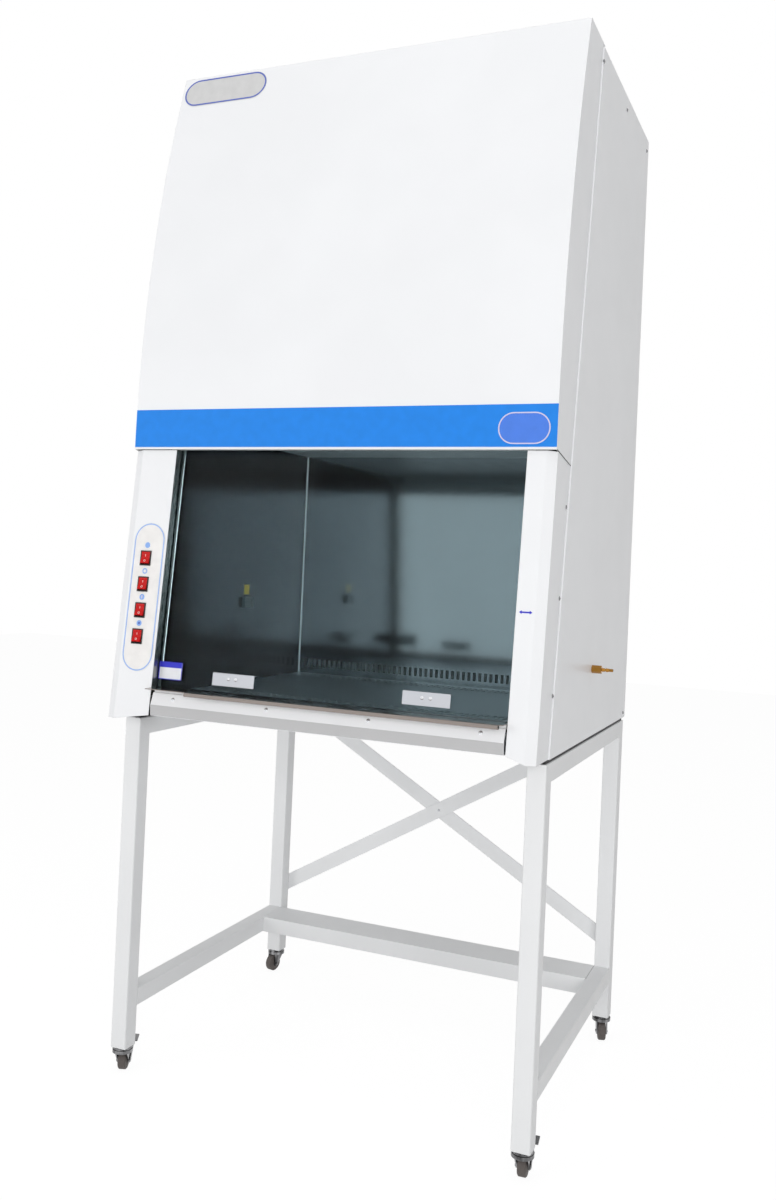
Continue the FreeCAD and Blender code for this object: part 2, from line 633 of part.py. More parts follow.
def stem(corner):
    """Swivel pin, race cup and stem, turned in one."""
    made = body("Stem")
    head = "crown_foot - side_gap"
    turn(made, [("0", f"{head} - pin_head"), ("king_radius + 3", f"{head} - pin_head"),
                ("king_radius + 3", head), ("king_radius", head), ("king_radius", "race_foot"),
                ("cup_radius", "race_foot"), ("cup_radius - 3", "caster_height"),
                ("stem_radius", "caster_height"), ("stem_radius", "caster_height + stem_length"),
                ("0", "caster_height + stem_length")])
    return at_corner(made, corner, False)


def leg_plug(corner):
    """Plastic plug that grips the stem inside the leg."""
    made = body("Plug")
    half = "(tube_side / 2 - tube_wall)"
    add(made, "XY", "caster_height", "caster_height + plug_length",
        soft_box(f"-{half}", half, f"-{half}", half, "tube_round - tube_wall"),
        ("round", "0", "0", "stem_radius + running_gap"))
    return at_corner(made, corner, False)


def fork(corner):
    """Pressed fork: round crown with a turned rim, two legs that trail, and the riveted axle."""
    made = body("caster_fork_" + corner)
    add(made, "XY", "crown_foot", "crown_top",
        ("round", "0", "0", "crown_radius"), ("round", "0", "0", "king_radius + running_gap"))
    add(made, "XY", "crown_top - crown_rim", "crown_foot",
        ("round", "0", "0", "crown_radius"), ("round", "0", "0", "crown_radius - fork_sheet"))
    nose = "(axle_radius + cheek_nose)"
    cheek = [("-crown_radius * 0.6", "crown_top"), ("-crown_radius * 0.6", "crown_top - crown_rim"),
             (f"trail - {nose}", "wheel_radius", nose), ("trail", f"wheel_radius - {nose}", nose),
             (f"trail + {nose}", "wheel_radius"), ("crown_radius * 0.7", "crown_top")]
    for x0, x1 in (("-fork_out", "-fork_half"), ("fork_half", "fork_out")):
        add(made, "YZ", x0, x1, cheek)
    add(made, "YZ", "-fork_out - rivet", "fork_out + rivet",
        ("round", "trail", "wheel_radius", "axle_radius"))
    return keep(at_corner(made, corner))


def wheel(corner):
    """Tread on a hub that is a little wider, bored for the axle."""
    made = body("caster_wheel_" + corner)
    bore = "trail + axle_radius + running_gap"
    web, rim = "trail + axle_radius + 4", "trail + wheel_radius - tread_depth"
    half, edge = "wheel_width / 2", "trail + wheel_radius"
    drawing = sketch(made, "XY", "wheel_radius", [[
        ("-hub_half", bore), ("hub_half", bore), ("hub_half", web), (half, rim),
        (half, f"{edge} - 2"), (f"{half} - 2", edge), (f"-({half} - 2)", edge),
        (f"-{half}", f"{edge} - 2"), (f"-{half}", rim), ("-hub_half", web)]])
    axle = made.newObject("PartDesign::Line", "Axle")
    axle.setExpression("Placement.Base.y", bound("trail"))
    axle.setExpression("Placement.Base.z", bound("wheel_radius"))
    axle.Placement.Rotation = FreeCAD.Rotation(V(0, 1, 0), 90)
    spin = made.newObject("PartDesign::Revolution", "Revolution")
    spin.Profile = drawing
    spin.ReferenceAxis = (axle, [""])
    spin.Angle = 360
    return keep(at_corner(made, corner))


def pedal(corner):
    """Brake pedal: two arms hinged on the axle's ends behind the fork, with a toe plate up."""
    made = body("caster_brake_" + corner)
    inner, outer = "fork_out + side_gap", "fork_out + side_gap + pedal_arm"
    eye = "(axle_radius + 3)"
    near, far = ("trail + pedal_start", "wheel_radius + pedal_low"), \
        ("trail + pedal_end", "wheel_radius + pedal_high")
    arm = [("trail", f"wheel_radius - {eye}", eye), (f"trail + {eye}", "wheel_radius"),
           (near[0] + " + 5", near[1]), near, (f"trail - {eye}", "wheel_radius", eye)]
    for x0, x1 in ((f"-({outer})", f"-({inner})"), (inner, outer)):
        add(made, "YZ", x0, x1, arm)
        cut(made, "YZ", x0, x1, ("round", "trail", "wheel_radius", "axle_radius + running_gap"))
    add(made, "YZ", "-pedal_half", "pedal_half", [
        (near[0], f"{near[1]} - pedal_sheet"), (far[0], f"{far[1]} - pedal_sheet"), far, near])
    return keep(at_corner(made, corner))


keep(group("caster_stems", [stem(corner) for corner in CORNERS]))
keep(group("leg_plugs", [leg_plug(corner) for corner in CORNERS]))
for corner in CORNERS:
    fork(corner)
    wheel(corner)
for corner in ("fl", "fr"):
    pedal(corner)

# Cabinet shell: base pan, side panels, rear and top panels, curved hood and two front columns.

def mirrored(start, end, side):
    """An X range for the right side, or the same range turned over for the left."""
    return (start, end) if side == "right" else (f"-({end})", f"-({start})")


seats = []
for x0, x1 in (("-side_x + seat_inset", "-leg_x - seat_inset"),
               ("leg_x + seat_inset", "side_x - seat_inset")):
    seat = body("Seat")
    add(seat, "XY", "stand_top", "shell_foot",
        box(x0, x1, "-stand_y + seat_inset", "stand_y - seat_inset"))
    seats.append(seat)
keep(group("rubber_seats", seats))

pan = body("base_pan")
pan_x = "strip_x - sheet"
add(pan, "XY", "shell_foot", "base_top", box(f"-({pan_x})", pan_x, "pan_front", "back_face - sheet"))
add(pan, "XZ", "pan_front", "pan_front + sheet",
    box("-open_left + apron_gap", "open_right - apron_gap", "base_top", "apron_foot + deck_sheet"))
add(pan, "XZ", "back_face - sheet * 2", "back_face - sheet",
    box("-(side_x - flange - 4)", "side_x - flange - 4", "base_top", "base_top + base_rim"))
keep(pan)

for side in ("left", "right"):
    panel = body("side_panel_" + side)
    add(panel, "YZ", *mirrored("shell_x", "side_x", side), [
        ("joint_low", "shell_foot"), ("back_face", "shell_foot"), ("back_face", "panel_top"),
        ("joint_top", "panel_top")])
    add(panel, "YZ", *mirrored("strip_x", "shell_x", side), [
        ("joint_low", "shell_foot"), ("joint_low + sheet", "shell_foot"),
        ("joint_top + sheet", "panel_top - sheet"),
        ("joint_top - joint_slope * sheet", "panel_top - sheet")])
    add(panel, "YZ", *mirrored("side_x - flange", "shell_x", side),
        box("back_face - sheet", "back_face", "shell_foot", "panel_top"))
    for low, start in (("base_top", "joint_foot"), ("panel_top - sheet * 2", "joint_top")):
        add(panel, "YZ", *mirrored("side_x - flange", "shell_x", side),
            box(f"{start} + joint_lap + 2", "back_face - sheet", low, f"({low}) + sheet"))
    keep(panel)

rear = body("rear_panel")
add(rear, "XZ", "back_face", "back_face + sheet",
    box("-side_x", "side_x", "shell_foot", "panel_top"),
    ("round", "gland_place", "gland_level", "gland_neck + hole_play"))
keep(rear)

top = body("top_panel")
add(top, "XY", "panel_top - sheet", "panel_top",
    box("-shell_x", "shell_x", "joint_top", "back_face - sheet"))
add(top, "XZ", "joint_top", "joint_top + sheet",
    box(f"-({pan_x})", pan_x, "panel_top", "hood_top - sheet"))
intake_front = "fan_place + 40"
louvre = cut(top, "XY", "panel_top - sheet", "panel_top",
             box("-intake_width / 2", "intake_width / 2", intake_front,
                 f"{intake_front} + louvre_width"))
repeat(top, louvre, "Y", "louvre_pitch", "floor(intake_depth / louvre_pitch)")
keep(top)

intake = body("intake_filter")
add(intake, "XY", "panel_top - sheet - prefilter", "panel_top - sheet",
    box("-intake_width / 2 - flange", "intake_width / 2 + flange", f"{intake_front} - flange",
        f"{intake_front} + intake_depth + flange"))
keep(intake)


def hood_front_at(z, offset="0"):
    """Front of the hood's curve at a height, moved out by an offset."""
    return f"hood_centre - sqrt((hood_radius + {offset}) ^ 2 - ({z} - hood_tangent) ^ 2)"


hood = body("hood_cover")
add(hood, "YZ", "-strip_x", "strip_x", [
    (hood_front_at("hood_bottom"), "hood_bottom", "-hood_radius"), ("hood_crest", "hood_top"),
    ("joint_top + flange", "hood_top"), ("joint_top + flange", "hood_top - sheet"),
    (hood_front_at("(hood_top - sheet)", "(-sheet)"), "hood_top - sheet", "(hood_radius - sheet)"),
    (hood_front_at("hood_bottom", "(-sheet)"), "hood_bottom")])
for side in ("left", "right"):
    add(hood, "YZ", *mirrored("strip_x - sheet", "strip_x", side), [
        ("hood_foot", "hood_bottom", "-hood_radius"), ("hood_crest", "hood_top"),
        ("joint_top", "hood_top"), ("joint_top", "panel_top - sheet * 3"),
        ("joint_top + joint_lap - sheet", "panel_top - sheet * 3"),
        ("joint_hood + joint_lap", "hood_bottom - hood_drop"),
        ("joint_hood", "hood_bottom - hood_drop")])
add(hood, "YZ", "-open_left + side_gap", "open_right - side_gap",
    box("hood_foot + sheet / 2", "hood_foot + hood_lip", "hood_bottom", "hood_bottom + sheet"))
keep(hood)

band = body("colour_band")
band_low, band_high = "(hood_bottom + band_foot)", "(hood_bottom + band_foot + band_height)"
add(band, "YZ", "-strip_x", "strip_x", [
    (hood_front_at(band_low, "band_sheet"), band_low, "-(hood_radius + band_sheet)"),
    (hood_front_at(band_high, "band_sheet"), band_high),
    (hood_front_at(band_high), band_high, "hood_radius"),
    (hood_front_at(band_low), band_low)])
keep(band)

hood_edge = "(hood_bottom - column_gap)"
flange_edge = "(hood_bottom - hood_drop - column_gap)"
below, above = "(stand_top + blank_low * 2)", "(hood_bottom - blank_low * 3)"
ahead, behind = "(face_foot + blank_low)", "(joint_foot + blank_depth)"
face_low = "((shell_foot - stand_top) / lean_cos)"
for side, edge in (("left", "open_left"), ("right", "open_right")):
    column = lean(body("column_" + side))
    way = "" if side == "right" else "-"
    fold_x = "(strip_x - bevel_width)"
    section = [(f"{way}{edge}", "0"), (f"{way}{fold_x}", "0"), (f"{way}strip_x", "bevel_depth"),
               (f"{way}strip_x", "blank_depth"), (f"{way}(strip_x - sheet)", "blank_depth"),
               (f"{way}(strip_x - sheet)", "bevel_depth + sheet / 2"),
               (f"{way}({fold_x} - sheet / 2)", "sheet"), (f"{way}{edge}", "sheet")]
    add(column, "XY", "blank_low", "blank_high", section)
    cut(column, "YZ", "-side_x", "side_x",
        [on_face(ahead, "shell_foot"), on_face(behind, "shell_foot"), on_face(behind, below),
         on_face(ahead, below)])
    cut(column, "XZ", "-sheet", "sheet * 2",
        [(f"{way}({edge} - sheet)", "(apron_foot - stand_top) / lean_cos"),
         (f"{way}{fold_x}", face_low), (f"{way}{fold_x}", f"{face_low} - sheet * 2"),
         (f"{way}({edge} - sheet)", f"{face_low} - sheet * 2")])
    cut(column, "YZ", "-side_x", "side_x",
        [on_face(ahead, hood_edge), on_face("hood_foot", hood_edge),
         on_face("joint_hood", flange_edge), on_face("joint_hood + joint_lap", flange_edge),
         on_face("joint_foot + joint_lap", "stand_top"), on_face("joint_foot + joint_lap", below),
         on_face("back_face", below), on_face("back_face", above), on_face(ahead, above)])
    if side == "left":
        hole = "(bezel_width - bezel_wall) / 2 + side_gap"
        tall = "(bezel_height - bezel_wall) / 2 + side_gap"
        window = cut(column, "XZ", "-1", "sheet + 1",
                     box(f"switch_x - ({hole})", f"switch_x + {hole}",
                         f"switch_foot - ({tall})", f"switch_foot + {tall}"))
        repeat(column, window, "Z", "switch_pitch", "4")
    keep(column)

# Sash: a glass pane in two slotted guides, with two finger plates.

guides = []
for edge, way in (("open_left", "-"), ("open_right", "")):
    guide = lean(body("Guide"))
    outer, floor_x = f"{way}({edge} + guide_width)", f"{way}({edge} + slot_bite)"
    mouth = "glass_depth + glass + glass_play * 2"
    add(guide, "XY", "guide_foot", "guide_top", [
        (outer, "sheet"), (f"{way}{edge}", "sheet"), (f"{way}{edge}", "glass_depth"),
        (floor_x, "glass_depth"), (floor_x, mouth), (f"{way}{edge}", mouth),
        (f"{way}{edge}", "guide_back"), (outer, "guide_back")])
    guides.append(guide)
keep(group("sash_guides", guides))

pane = lean(body("sash_glass"))
add(pane, "XZ", "glass_front", "glass_back",
    box("-(open_left + slot_bite - 1)", "open_right + slot_bite - 1",
        "glass_foot", "glass_foot + glass_height"))
keep(pane)

handle_front = "glass_front - handle_reach - handle_sheet"
screw_height = "(handle_foot + handle_height / 2 + 2)"
handles, screws = [], []
for middle in ("handle_left", "handle_right"):
    holes = [("round", f"{middle} {way} handle_pitch / 2", screw_height, "screw_radius / 2")
             for way in "-+"]
    handle = lean(body("Handle"))
    span = (f"{middle} - handle_width / 2", f"{middle} + handle_width / 2")
    add(handle, "XZ", handle_front, "glass_front - handle_reach",
        box(*span, "handle_foot", "handle_foot + handle_height"), *holes)
    add(handle, "XZ", "glass_front - handle_reach", "glass_front",
        box(*span, "handle_foot + handle_height - handle_sheet", "handle_foot + handle_height"))
    handles.append(handle)
    for _, x, z, radius in holes:
        screw = lean(body("Screw"))
        add(screw, "XZ", handle_front, "glass_front", ("round", x, z, radius))
        add(screw, "XZ", f"{handle_front} - 2", handle_front, ("round", x, z, "screw_radius"))
        screws.append(screw)
keep(group("sash_handles", handles))
keep(group("sash_handle_screws", screws))

# Chamber: stainless walls, work surface, lip and apron.

def wall_front(z):
    """Front edge of the chamber's side walls, just behind the columns' leaning sheet."""
    return f"face_foot + sheet / lean_cos + ({z} - stand_top) * lean_tan"


walls = []
for start, end in (("wall_left - liner", "wall_left"), ("wall_right", "wall_right + liner")):
    wall = body("Wall")
    add(wall, "YZ", start, end, [
        (wall_front("apron_foot"), "apron_foot"), ("pan_front", "apron_foot"),
        ("pan_front", "base_top"), ("chamber_back + liner", "base_top"),
        ("chamber_back + liner", "plenum_top"), (wall_front("plenum_top"), "plenum_top")])
    walls.append(wall)
keep(group("chamber_side_walls", walls))

back = body("chamber_back_wall")
add(back, "XZ", "chamber_back", "chamber_back + liner",
    box("wall_left", "wall_right", "base_top", "plenum_top"))
first_slot = "wall_left + slot_pitch"
slot = cut(back, "XZ", "chamber_back", "chamber_back + liner",
           box(first_slot, f"{first_slot} + slot_width",
               "deck_height + slot_rise", "deck_height + slot_rise + slot_height"))
repeat(back, slot, "X", "slot_pitch", "floor((wall_right - wall_left) / slot_pitch) - 2")
keep(back)

deck = body("work_surface")
add(deck, "XY", "deck_foot", "deck_height",
    box("wall_left + 1", "wall_right - 1", "deck_front", "chamber_back - side_gap"))
for start in ("lip_back + grille_margin", "chamber_back - grille_depth - grille_margin"):
    hole = cut(deck, "XY", "deck_foot", "deck_height",
               box("wall_left + grille_pitch", "wall_left + grille_pitch + grille_slot",
                   start, f"{start} + grille_gap"))
    row = repeat(deck, hole, "X", "grille_pitch",
                 "floor((wall_right - wall_left) / grille_pitch) - 1")
    across = next(f for f in deck.Origin.OriginFeatures if f.Role == "Y_Axis")
    row.Direction2 = (across, [""])
    row.Mode2 = "Spacing"
    row.setExpression("Offset2", bound("(grille_depth - grille_gap) / 2"))
    row.Occurrences2 = 3
keep(deck)

rails = []
for start, way in (("wall_left", 1), ("wall_right", -1)):
    rail = body("Rest")
    edge = f"{start} + {way} * rest_width"
    low, high = (start, edge) if way > 0 else (edge, start)
    add(rail, "XZ", "lip_back + flange", "chamber_back - flange",
        box(low, high, "deck_foot - deck_sheet", "deck_foot"))
    inner = f"{start} + {way} * deck_sheet"
    low, high = (start, inner) if way > 0 else (inner, start)
    add(rail, "XZ", "lip_back + flange", "chamber_back - flange",
        box(low, high, "deck_foot - rest_width", "deck_foot - deck_sheet"))
    rails.append(rail)
keep(group("work_surface_rails", rails))

lip = body("front_lip")
under_lip = "lip_top - deck_sheet"
bead_y, bead_z = "lip_front + lip_bead", "lip_top - lip_bead"
add(lip, "YZ", "-open_left + 1", "open_right - 1", [
    (bead_y, "lip_top"), (bead_y, under_lip), ("lip_back - deck_sheet", under_lip),
    ("lip_back - deck_sheet", "deck_height"), ("lip_back", "deck_height"),
    ("lip_back", "lip_top")])
add(lip, "YZ", "bead_start", "open_right - 1 - lip_bead * 2",
    ("round", bead_y, bead_z, "lip_bead"), ("round", bead_y, bead_z, "lip_bead - deck_sheet"))
keep(lip)


def face_at(z, offset):
    """The columns' leaning face at a height, with an offset towards the back."""
    return f"face_foot + ({z} - stand_top) * lean_tan + ({offset})"


apron = body("front_apron")
web = "(lip_face - apron_web)"
crown, crease = face_at("apron_top", "apron_set"), face_at("apron_fold", "-apron_proud")
foot = face_at("apron_foot", "apron_proud")
add(apron, "YZ", "-open_left + apron_gap", "open_right - apron_gap", [
    (web, under_lip), (web, "apron_top"), (crown, "apron_top"), (crease, "apron_fold"),
    (foot, "apron_foot"), ("pan_front", "apron_foot"), ("pan_front", "apron_foot + deck_sheet"),
    (f"{foot} + deck_sheet", "apron_foot + deck_sheet"), (f"{crease} + deck_sheet", "apron_fold"),
    (f"{crown} + deck_sheet", "apron_top - deck_sheet"),
    (f"{web} + deck_sheet", "apron_top - deck_sheet"), (f"{web} + deck_sheet", under_lip)])
keep(apron)

# Air path above the chamber: diffuser, pleated filter, plenum, and a centrifugal blower.

diffuser = body("diffuser_screen")
add(diffuser, "XY", "ceiling", "ceiling + liner",
    box("wall_left", "wall_right", "plenum_front", "chamber_back"))
slot_x, slot_y = "wall_left + diffuser_pitch / 2", "plenum_front + diffuser_rows"
slot = cut(diffuser, "XY", "ceiling", "ceiling + liner",
           box(slot_x, f"{slot_x} + diffuser_slot", slot_y, f"{slot_y} + diffuser_gap"))
row = repeat(diffuser, slot, "X", "diffuser_pitch",
             "floor((wall_right - wall_left) / diffuser_pitch) - 1")
row.Direction2 = (next(f for f in diffuser.Origin.OriginFeatures if f.Role == "Y_Axis"), [""])
row.Mode2 = "Spacing"
row.setExpression("Offset2", bound("diffuser_rows"))
row.setExpression("Occurrences2",
                  bound("floor((chamber_back - plenum_front) / diffuser_rows) - 1"))
keep(diffuser)

plenum = body("filter_plenum")
outer_left, outer_right = "wall_left - liner", "wall_right + liner"
add(plenum, "XZ", "plenum_front - liner", "plenum_front",
    box("wall_left", "wall_right", "ceiling - flange", "plenum_top"))
add(plenum, "XY", "plenum_top", "plenum_top + liner",
    box(outer_left, outer_right, "plenum_front - liner", "chamber_back + liner"),
    box("-cheek_half", "cheek_half", "outlet_front", "fan_place"))
keep(plenum)

filter_x = ("wall_left + filter_gap", "wall_right - filter_gap")
filter_y = ("plenum_front + filter_gap", "chamber_back - filter_gap")
casing = body("filter_frame")
add(casing, "XY", "filter_foot", "filter_top", box(*filter_x, *filter_y),
    box(f"{filter_x[0]} + filter_wall", f"{filter_x[1]} - filter_wall",
        f"{filter_y[0]} + filter_wall", f"{filter_y[1]} - filter_wall"))
keep(casing)

pleats = body("filter_pleats")
start_x = f"{filter_x[0]} + filter_wall + side_gap"
end_y = f"{filter_y[1]} - filter_wall - side_gap"
low, high = "filter_foot + flange / 2", "filter_top - flange / 2"
half_pitch = "pleat_pitch / 2"
fold_v = add(pleats, "XZ", f"{filter_y[0]} + filter_wall + side_gap", end_y, [
    (start_x, low), (f"{start_x} + paper", low), (f"{start_x} + paper / 2 + {half_pitch}",
                                                  f"{high} - paper * 4"),
    (f"{start_x} + pleat_pitch", low), (f"{start_x} + pleat_pitch + paper", low),
    (f"{start_x} + paper / 2 + {half_pitch}", high)])
fold_span = "(wall_right - wall_left - 2 * (filter_gap + filter_wall + side_gap) - paper)"
repeat(pleats, fold_v, "X", "pleat_pitch", f"floor({fold_span} / pleat_pitch)")
keep(pleats)


def scroll(offset):
    """Outline of the blower's scroll: three quarter turns that grow by one step each, then an
    outlet that runs straight down; the offset moves it outwards by the sheet."""
    start, middle, mouth = "fan_place", "fan_height", "plenum_top + liner"
    second_y, third_z = f"({start} - scroll_step)", f"({middle} - scroll_step)"
    first, second, third = [f"(scroll_start + scroll_step * {turns} + {offset})"
                            for turns in range(3)]
    return [(start, mouth), (start, f"{middle} - {first}", first),
            (f"{start} + {first}", middle, second), (second_y, f"{middle} + {second}", third),
            (f"{second_y} - {third}", third_z), (f"{second_y} - {third}", mouth)]


housing = body("blower_housing")
add(housing, "YZ", "-cheek_out", "cheek_out", scroll("sheet"))
cut(housing, "YZ", "-cheek_half", "cheek_half", scroll("0"))
cut(housing, "YZ", "-cheek_out", "-cheek_half",
    ("round", "fan_place", "fan_height", "fan_radius - blade_depth"))
cut(housing, "YZ", "cheek_half", "cheek_out",
    ("round", "fan_place", "fan_height", "shaft_radius * 2"))
keep(housing)


def at_fan(made):
    """Put a piece drawn about its own X axis on the blower's axis."""
    made.setExpression("Placement.Base.y", bound("fan_place"))
    made.setExpression("Placement.Base.z", bound("fan_height"))
    return made


fan = at_fan(body("blower_wheel"))
add(fan, "YZ", "fan_half - blade_sheet * 2", "fan_half",
    ("round", "0", "0", "fan_radius"), ("round", "0", "0", "shaft_radius"))
add(fan, "YZ", "fan_half - boss_length", "fan_half - blade_sheet * 2",
    ("round", "0", "0", "boss_radius"), ("round", "0", "0", "shaft_radius"))
add(fan, "YZ", "-fan_half", "-fan_half + blade_sheet * 2",
    ("round", "0", "0", "fan_radius"), ("round", "0", "0", "fan_radius - blade_depth"))
root_r, tip_r = "(fan_radius - blade_depth + 0.5)", "(fan_radius - 0.5)"
blade = add(fan, "YZ", "-fan_half + blade_sheet", "fan_half - blade_sheet", [
    (root_r, "0", "blade_bow"), (tip_r, "blade_sweep"),
    (f"{tip_r} - blade_sheet / 4", "blade_sweep + blade_sheet", "-(blade_bow - blade_sheet)"),
    (root_r, "blade_sheet")])
ring = fan.newObject("PartDesign::PolarPattern", "Blades")
ring.Originals = [blade]
ring.Axis = (next(f for f in fan.Origin.OriginFeatures if f.Role == "X_Axis"), [""])
ring.Angle = 360
ring.setExpression("Occurrences", bound("blade_count"))
fan.Tip = ring
keep(fan)

shaft = at_fan(body("blower_shaft"))
add(shaft, "YZ", "fan_half - boss_length", "cheek_out + motor_length / 2",
    ("round", "0", "0", "shaft_radius"))
keep(shaft)

motor = at_fan(body("blower_motor"))
motor_end = "(cheek_out + motor_length)"
add(motor, "YZ", "cheek_out", f"{motor_end} - motor_cap", ("round", "0", "0", "motor_radius"),
    ("round", "0", "0", "shaft_radius + running_gap"))
add(motor, "YZ", f"{motor_end} - motor_cap", motor_end,
    ("round", "0", "0", "motor_radius - motor_step"))
keep(motor)

# Lamps under the ceiling, behind the sash: a room lamp and a germicidal lamp.

lamp_x = "((wall_left + wall_right) / 2)"
fittings, tubes = [], []
for place in ("lamp_place", "germ_place"):
    fitting = body("Fitting")
    y0, y1 = f"{place} - lamp_width / 2", f"{place} + lamp_width / 2"
    add(fitting, "XY", "ceiling - lamp_depth", "ceiling",
        box(f"{lamp_x} - lamp_length / 2", f"{lamp_x} + lamp_length / 2", y0, y1))
    for way in ("-", "+"):
        outside = f"({lamp_x} {way} lamp_length / 2)"
        inside = f"({lamp_x} {way} (lamp_length / 2 - 12))"
        low_x, high_x = (outside, inside) if way == "-" else (inside, outside)
        add(fitting, "YZ", low_x, high_x, [
            (f"{place} - tube_lamp", "ceiling - lamp_depth"),
            (f"{place} - tube_lamp", "ceiling - lamp_depth - lamp_drop", "tube_lamp"),
            (place, "ceiling - lamp_depth - lamp_drop - tube_lamp", "tube_lamp"),
            (f"{place} + tube_lamp", "ceiling - lamp_depth - lamp_drop"),
            (f"{place} + tube_lamp", "ceiling - lamp_depth")])
    fittings.append(fitting)
    tubes.append(cylinder("Tube", "tube_lamp", "lamp_length - 24",
                          (f"{lamp_x} - lamp_length / 2 + 12", place,
                           "ceiling - lamp_depth - lamp_drop"), "x"))
keep(group("lamp_fittings", fittings))
keep(group("lamp_tubes", tubes))

# Switch plate on the left column: four rockers in snap-in bodies.

plate = lean(body("switch_plate"))
x0, x1 = "plate_x - plate_width / 2", "plate_x + plate_width / 2"
end_low, end_high = "plate_foot + plate_width / 2", "plate_foot + plate_length - plate_width / 2"
round_end = "(plate_width / 2)"
add(plate, "XZ", "-plate_sheet", "0", [
    ("plate_x", "plate_foot", round_end), (x1, end_low), (x1, end_high, round_end),
    ("plate_x", "plate_foot + plate_length", round_end), (x0, end_high),
    (x0, end_low, round_end)])
hole = "(bezel_width - bezel_wall) / 2 + side_gap"
tall = "(bezel_height - bezel_wall) / 2 + side_gap"
window = cut(plate, "XZ", "-plate_sheet - 1", "1",
             box(f"switch_x - ({hole})", f"switch_x + {hole}",
                 f"switch_foot - ({tall})", f"switch_foot + {tall}"))
repeat(plate, window, "Z", "switch_pitch", "4")
keep(plate)


def around(z, wide, high):
    """A rectangle about a switch's middle."""
    return box(f"switch_x - ({wide}) / 2", f"switch_x + ({wide}) / 2",
               f"{z} - ({high}) / 2", f"{z} + ({high}) / 2")


cases = []
for number_up in range(4):
    z = f"(switch_foot + switch_pitch * {number_up})"
    case = lean(body("Case"))
    well = around(z, "bezel_width - bezel_wall * 2", "bezel_height - bezel_wall * 2")
    add(case, "XZ", "-plate_sheet - bezel_rise", "-plate_sheet",
        around(z, "bezel_width", "bezel_height"))
    add(case, "XZ", "-plate_sheet", "switch_depth",
        around(z, "bezel_width - bezel_wall", "bezel_height - bezel_wall"))
    cut(case, "XZ", "-plate_sheet - bezel_rise", "switch_depth - switch_floor", well)
    cut(case, "YZ", "switch_x - bezel_width / 2", "switch_x + bezel_width / 2",
        ("round", "pivot_depth", z, "pin_radius + running_gap"))
    cases.append(case)

    rocker = body(f"rocker_{number_up + 1}")
    wide = "(bezel_width / 2 - bezel_wall - side_gap)"
    add(rocker, "YZ", f"-{wide}", wide, [
        ("-rocker_face", "-rocker_half"), ("2", "-rocker_half + 1"), ("rocker_face - 1", "-3"),
        ("rocker_face - 1", "3"), ("2", "rocker_half - 1"), ("-rocker_face", "rocker_half"),
        ("-rocker_face + 2", "0")])
    pin_end = "(bezel_width / 2 - bezel_wall + pin_bite)"
    add(rocker, "YZ", f"-{pin_end}", pin_end, ("round", "0", "0", "pin_radius"))
    rocker.Placement = FreeCAD.Placement(V(0, 0, 0), FreeCAD.Rotation(V(1, 0, 0), -1))
    rocker.setExpression("Placement.Base.x", bound("switch_x"))
    rocker.setExpression("Placement.Base.y",
                         bound(f"face_foot + pivot_depth * lean_cos + {z} * lean_sin"))
    rocker.setExpression("Placement.Base.z",
                         bound(f"stand_top - pivot_depth * lean_sin + {z} * lean_cos"))
    rocker.setExpression("Placement.Rotation.Angle", bound("-(face_lean + rocker_tilt)"))
    keep(rocker)
keep(group("switch_bodies", cases))

# Fittings: socket inside, hose inlet on the right side, cable gland at the back.

socket = body("power_socket")
s0, s1 = "socket_place - socket_width / 2", "socket_place + socket_width / 2"
t0, t1 = "socket_level - socket_height / 2", "socket_level + socket_height / 2"
add(socket, "YZ", "wall_left", "wall_left + socket_depth", soft_box(s0, s1, t0, t1, "4"))
cut(socket, "YZ", "wall_left + socket_depth - 3", "wall_left + socket_depth",
    soft_box(f"{s0} + 5", f"{s1} - 5", f"{t0} + 4", f"{t1} - 4", "3"))
keep(socket)

inlet = body("gas_inlet")
hexagon = [(f"gas_nut * cos({angle})", f"gas_nut * sin({angle})") for angle in range(0, 360, 60)]
add(inlet, "XY", "0", "gas_body", hexagon)
barb = [("0", "gas_body"), ("gas_barb - 1", "gas_body")]
for ring_up in range(2):
    foot = f"gas_body + barb_pitch * {ring_up}"
    barb += [("gas_barb - 1", f"{foot} + 1.5"), ("gas_barb", f"{foot} + 1.5"),
             ("gas_barb - 1", f"{foot} + barb_pitch")]
barb += [("gas_barb - 1", "gas_body + barb_pitch * 3"), ("0", "gas_body + barb_pitch * 3")]
turn(inlet, barb)
cut(inlet, "XY", "0", "gas_body + barb_pitch * 3", ("round", "0", "0", "gas_bore"))
inlet.Placement = FreeCAD.Placement(V(0, 0, 0), FreeCAD.Rotation(V(0, 1, 0), 90))
for way, value in (("x", "side_x"), ("y", "gas_place"), ("z", "gas_level")):
    inlet.setExpression("Placement.Base." + way, bound(value))
keep(inlet)

gland = body("cable_gland")
turn(gland, [("gland_bore", "-gland_nut"), ("gland_radius", "-gland_nut"),
             ("gland_radius", "-sheet"), ("gland_neck", "-sheet"), ("gland_neck", "0"),
             ("gland_radius", "0"), ("gland_radius", "gland_cap"), ("gland_bore + 2", "gland_tail"),
             ("gland_bore", "gland_tail")])
gland.Placement = FreeCAD.Placement(V(0, 0, 0), FreeCAD.Rotation(V(1, 0, 0), -90))
for way, value in (("x", "gland_place"), ("y", "back_face + sheet"), ("z", "gland_level")):
    gland.setExpression("Placement.Base." + way, bound(value))
keep(gland)


# Every solid is sound before it is written.

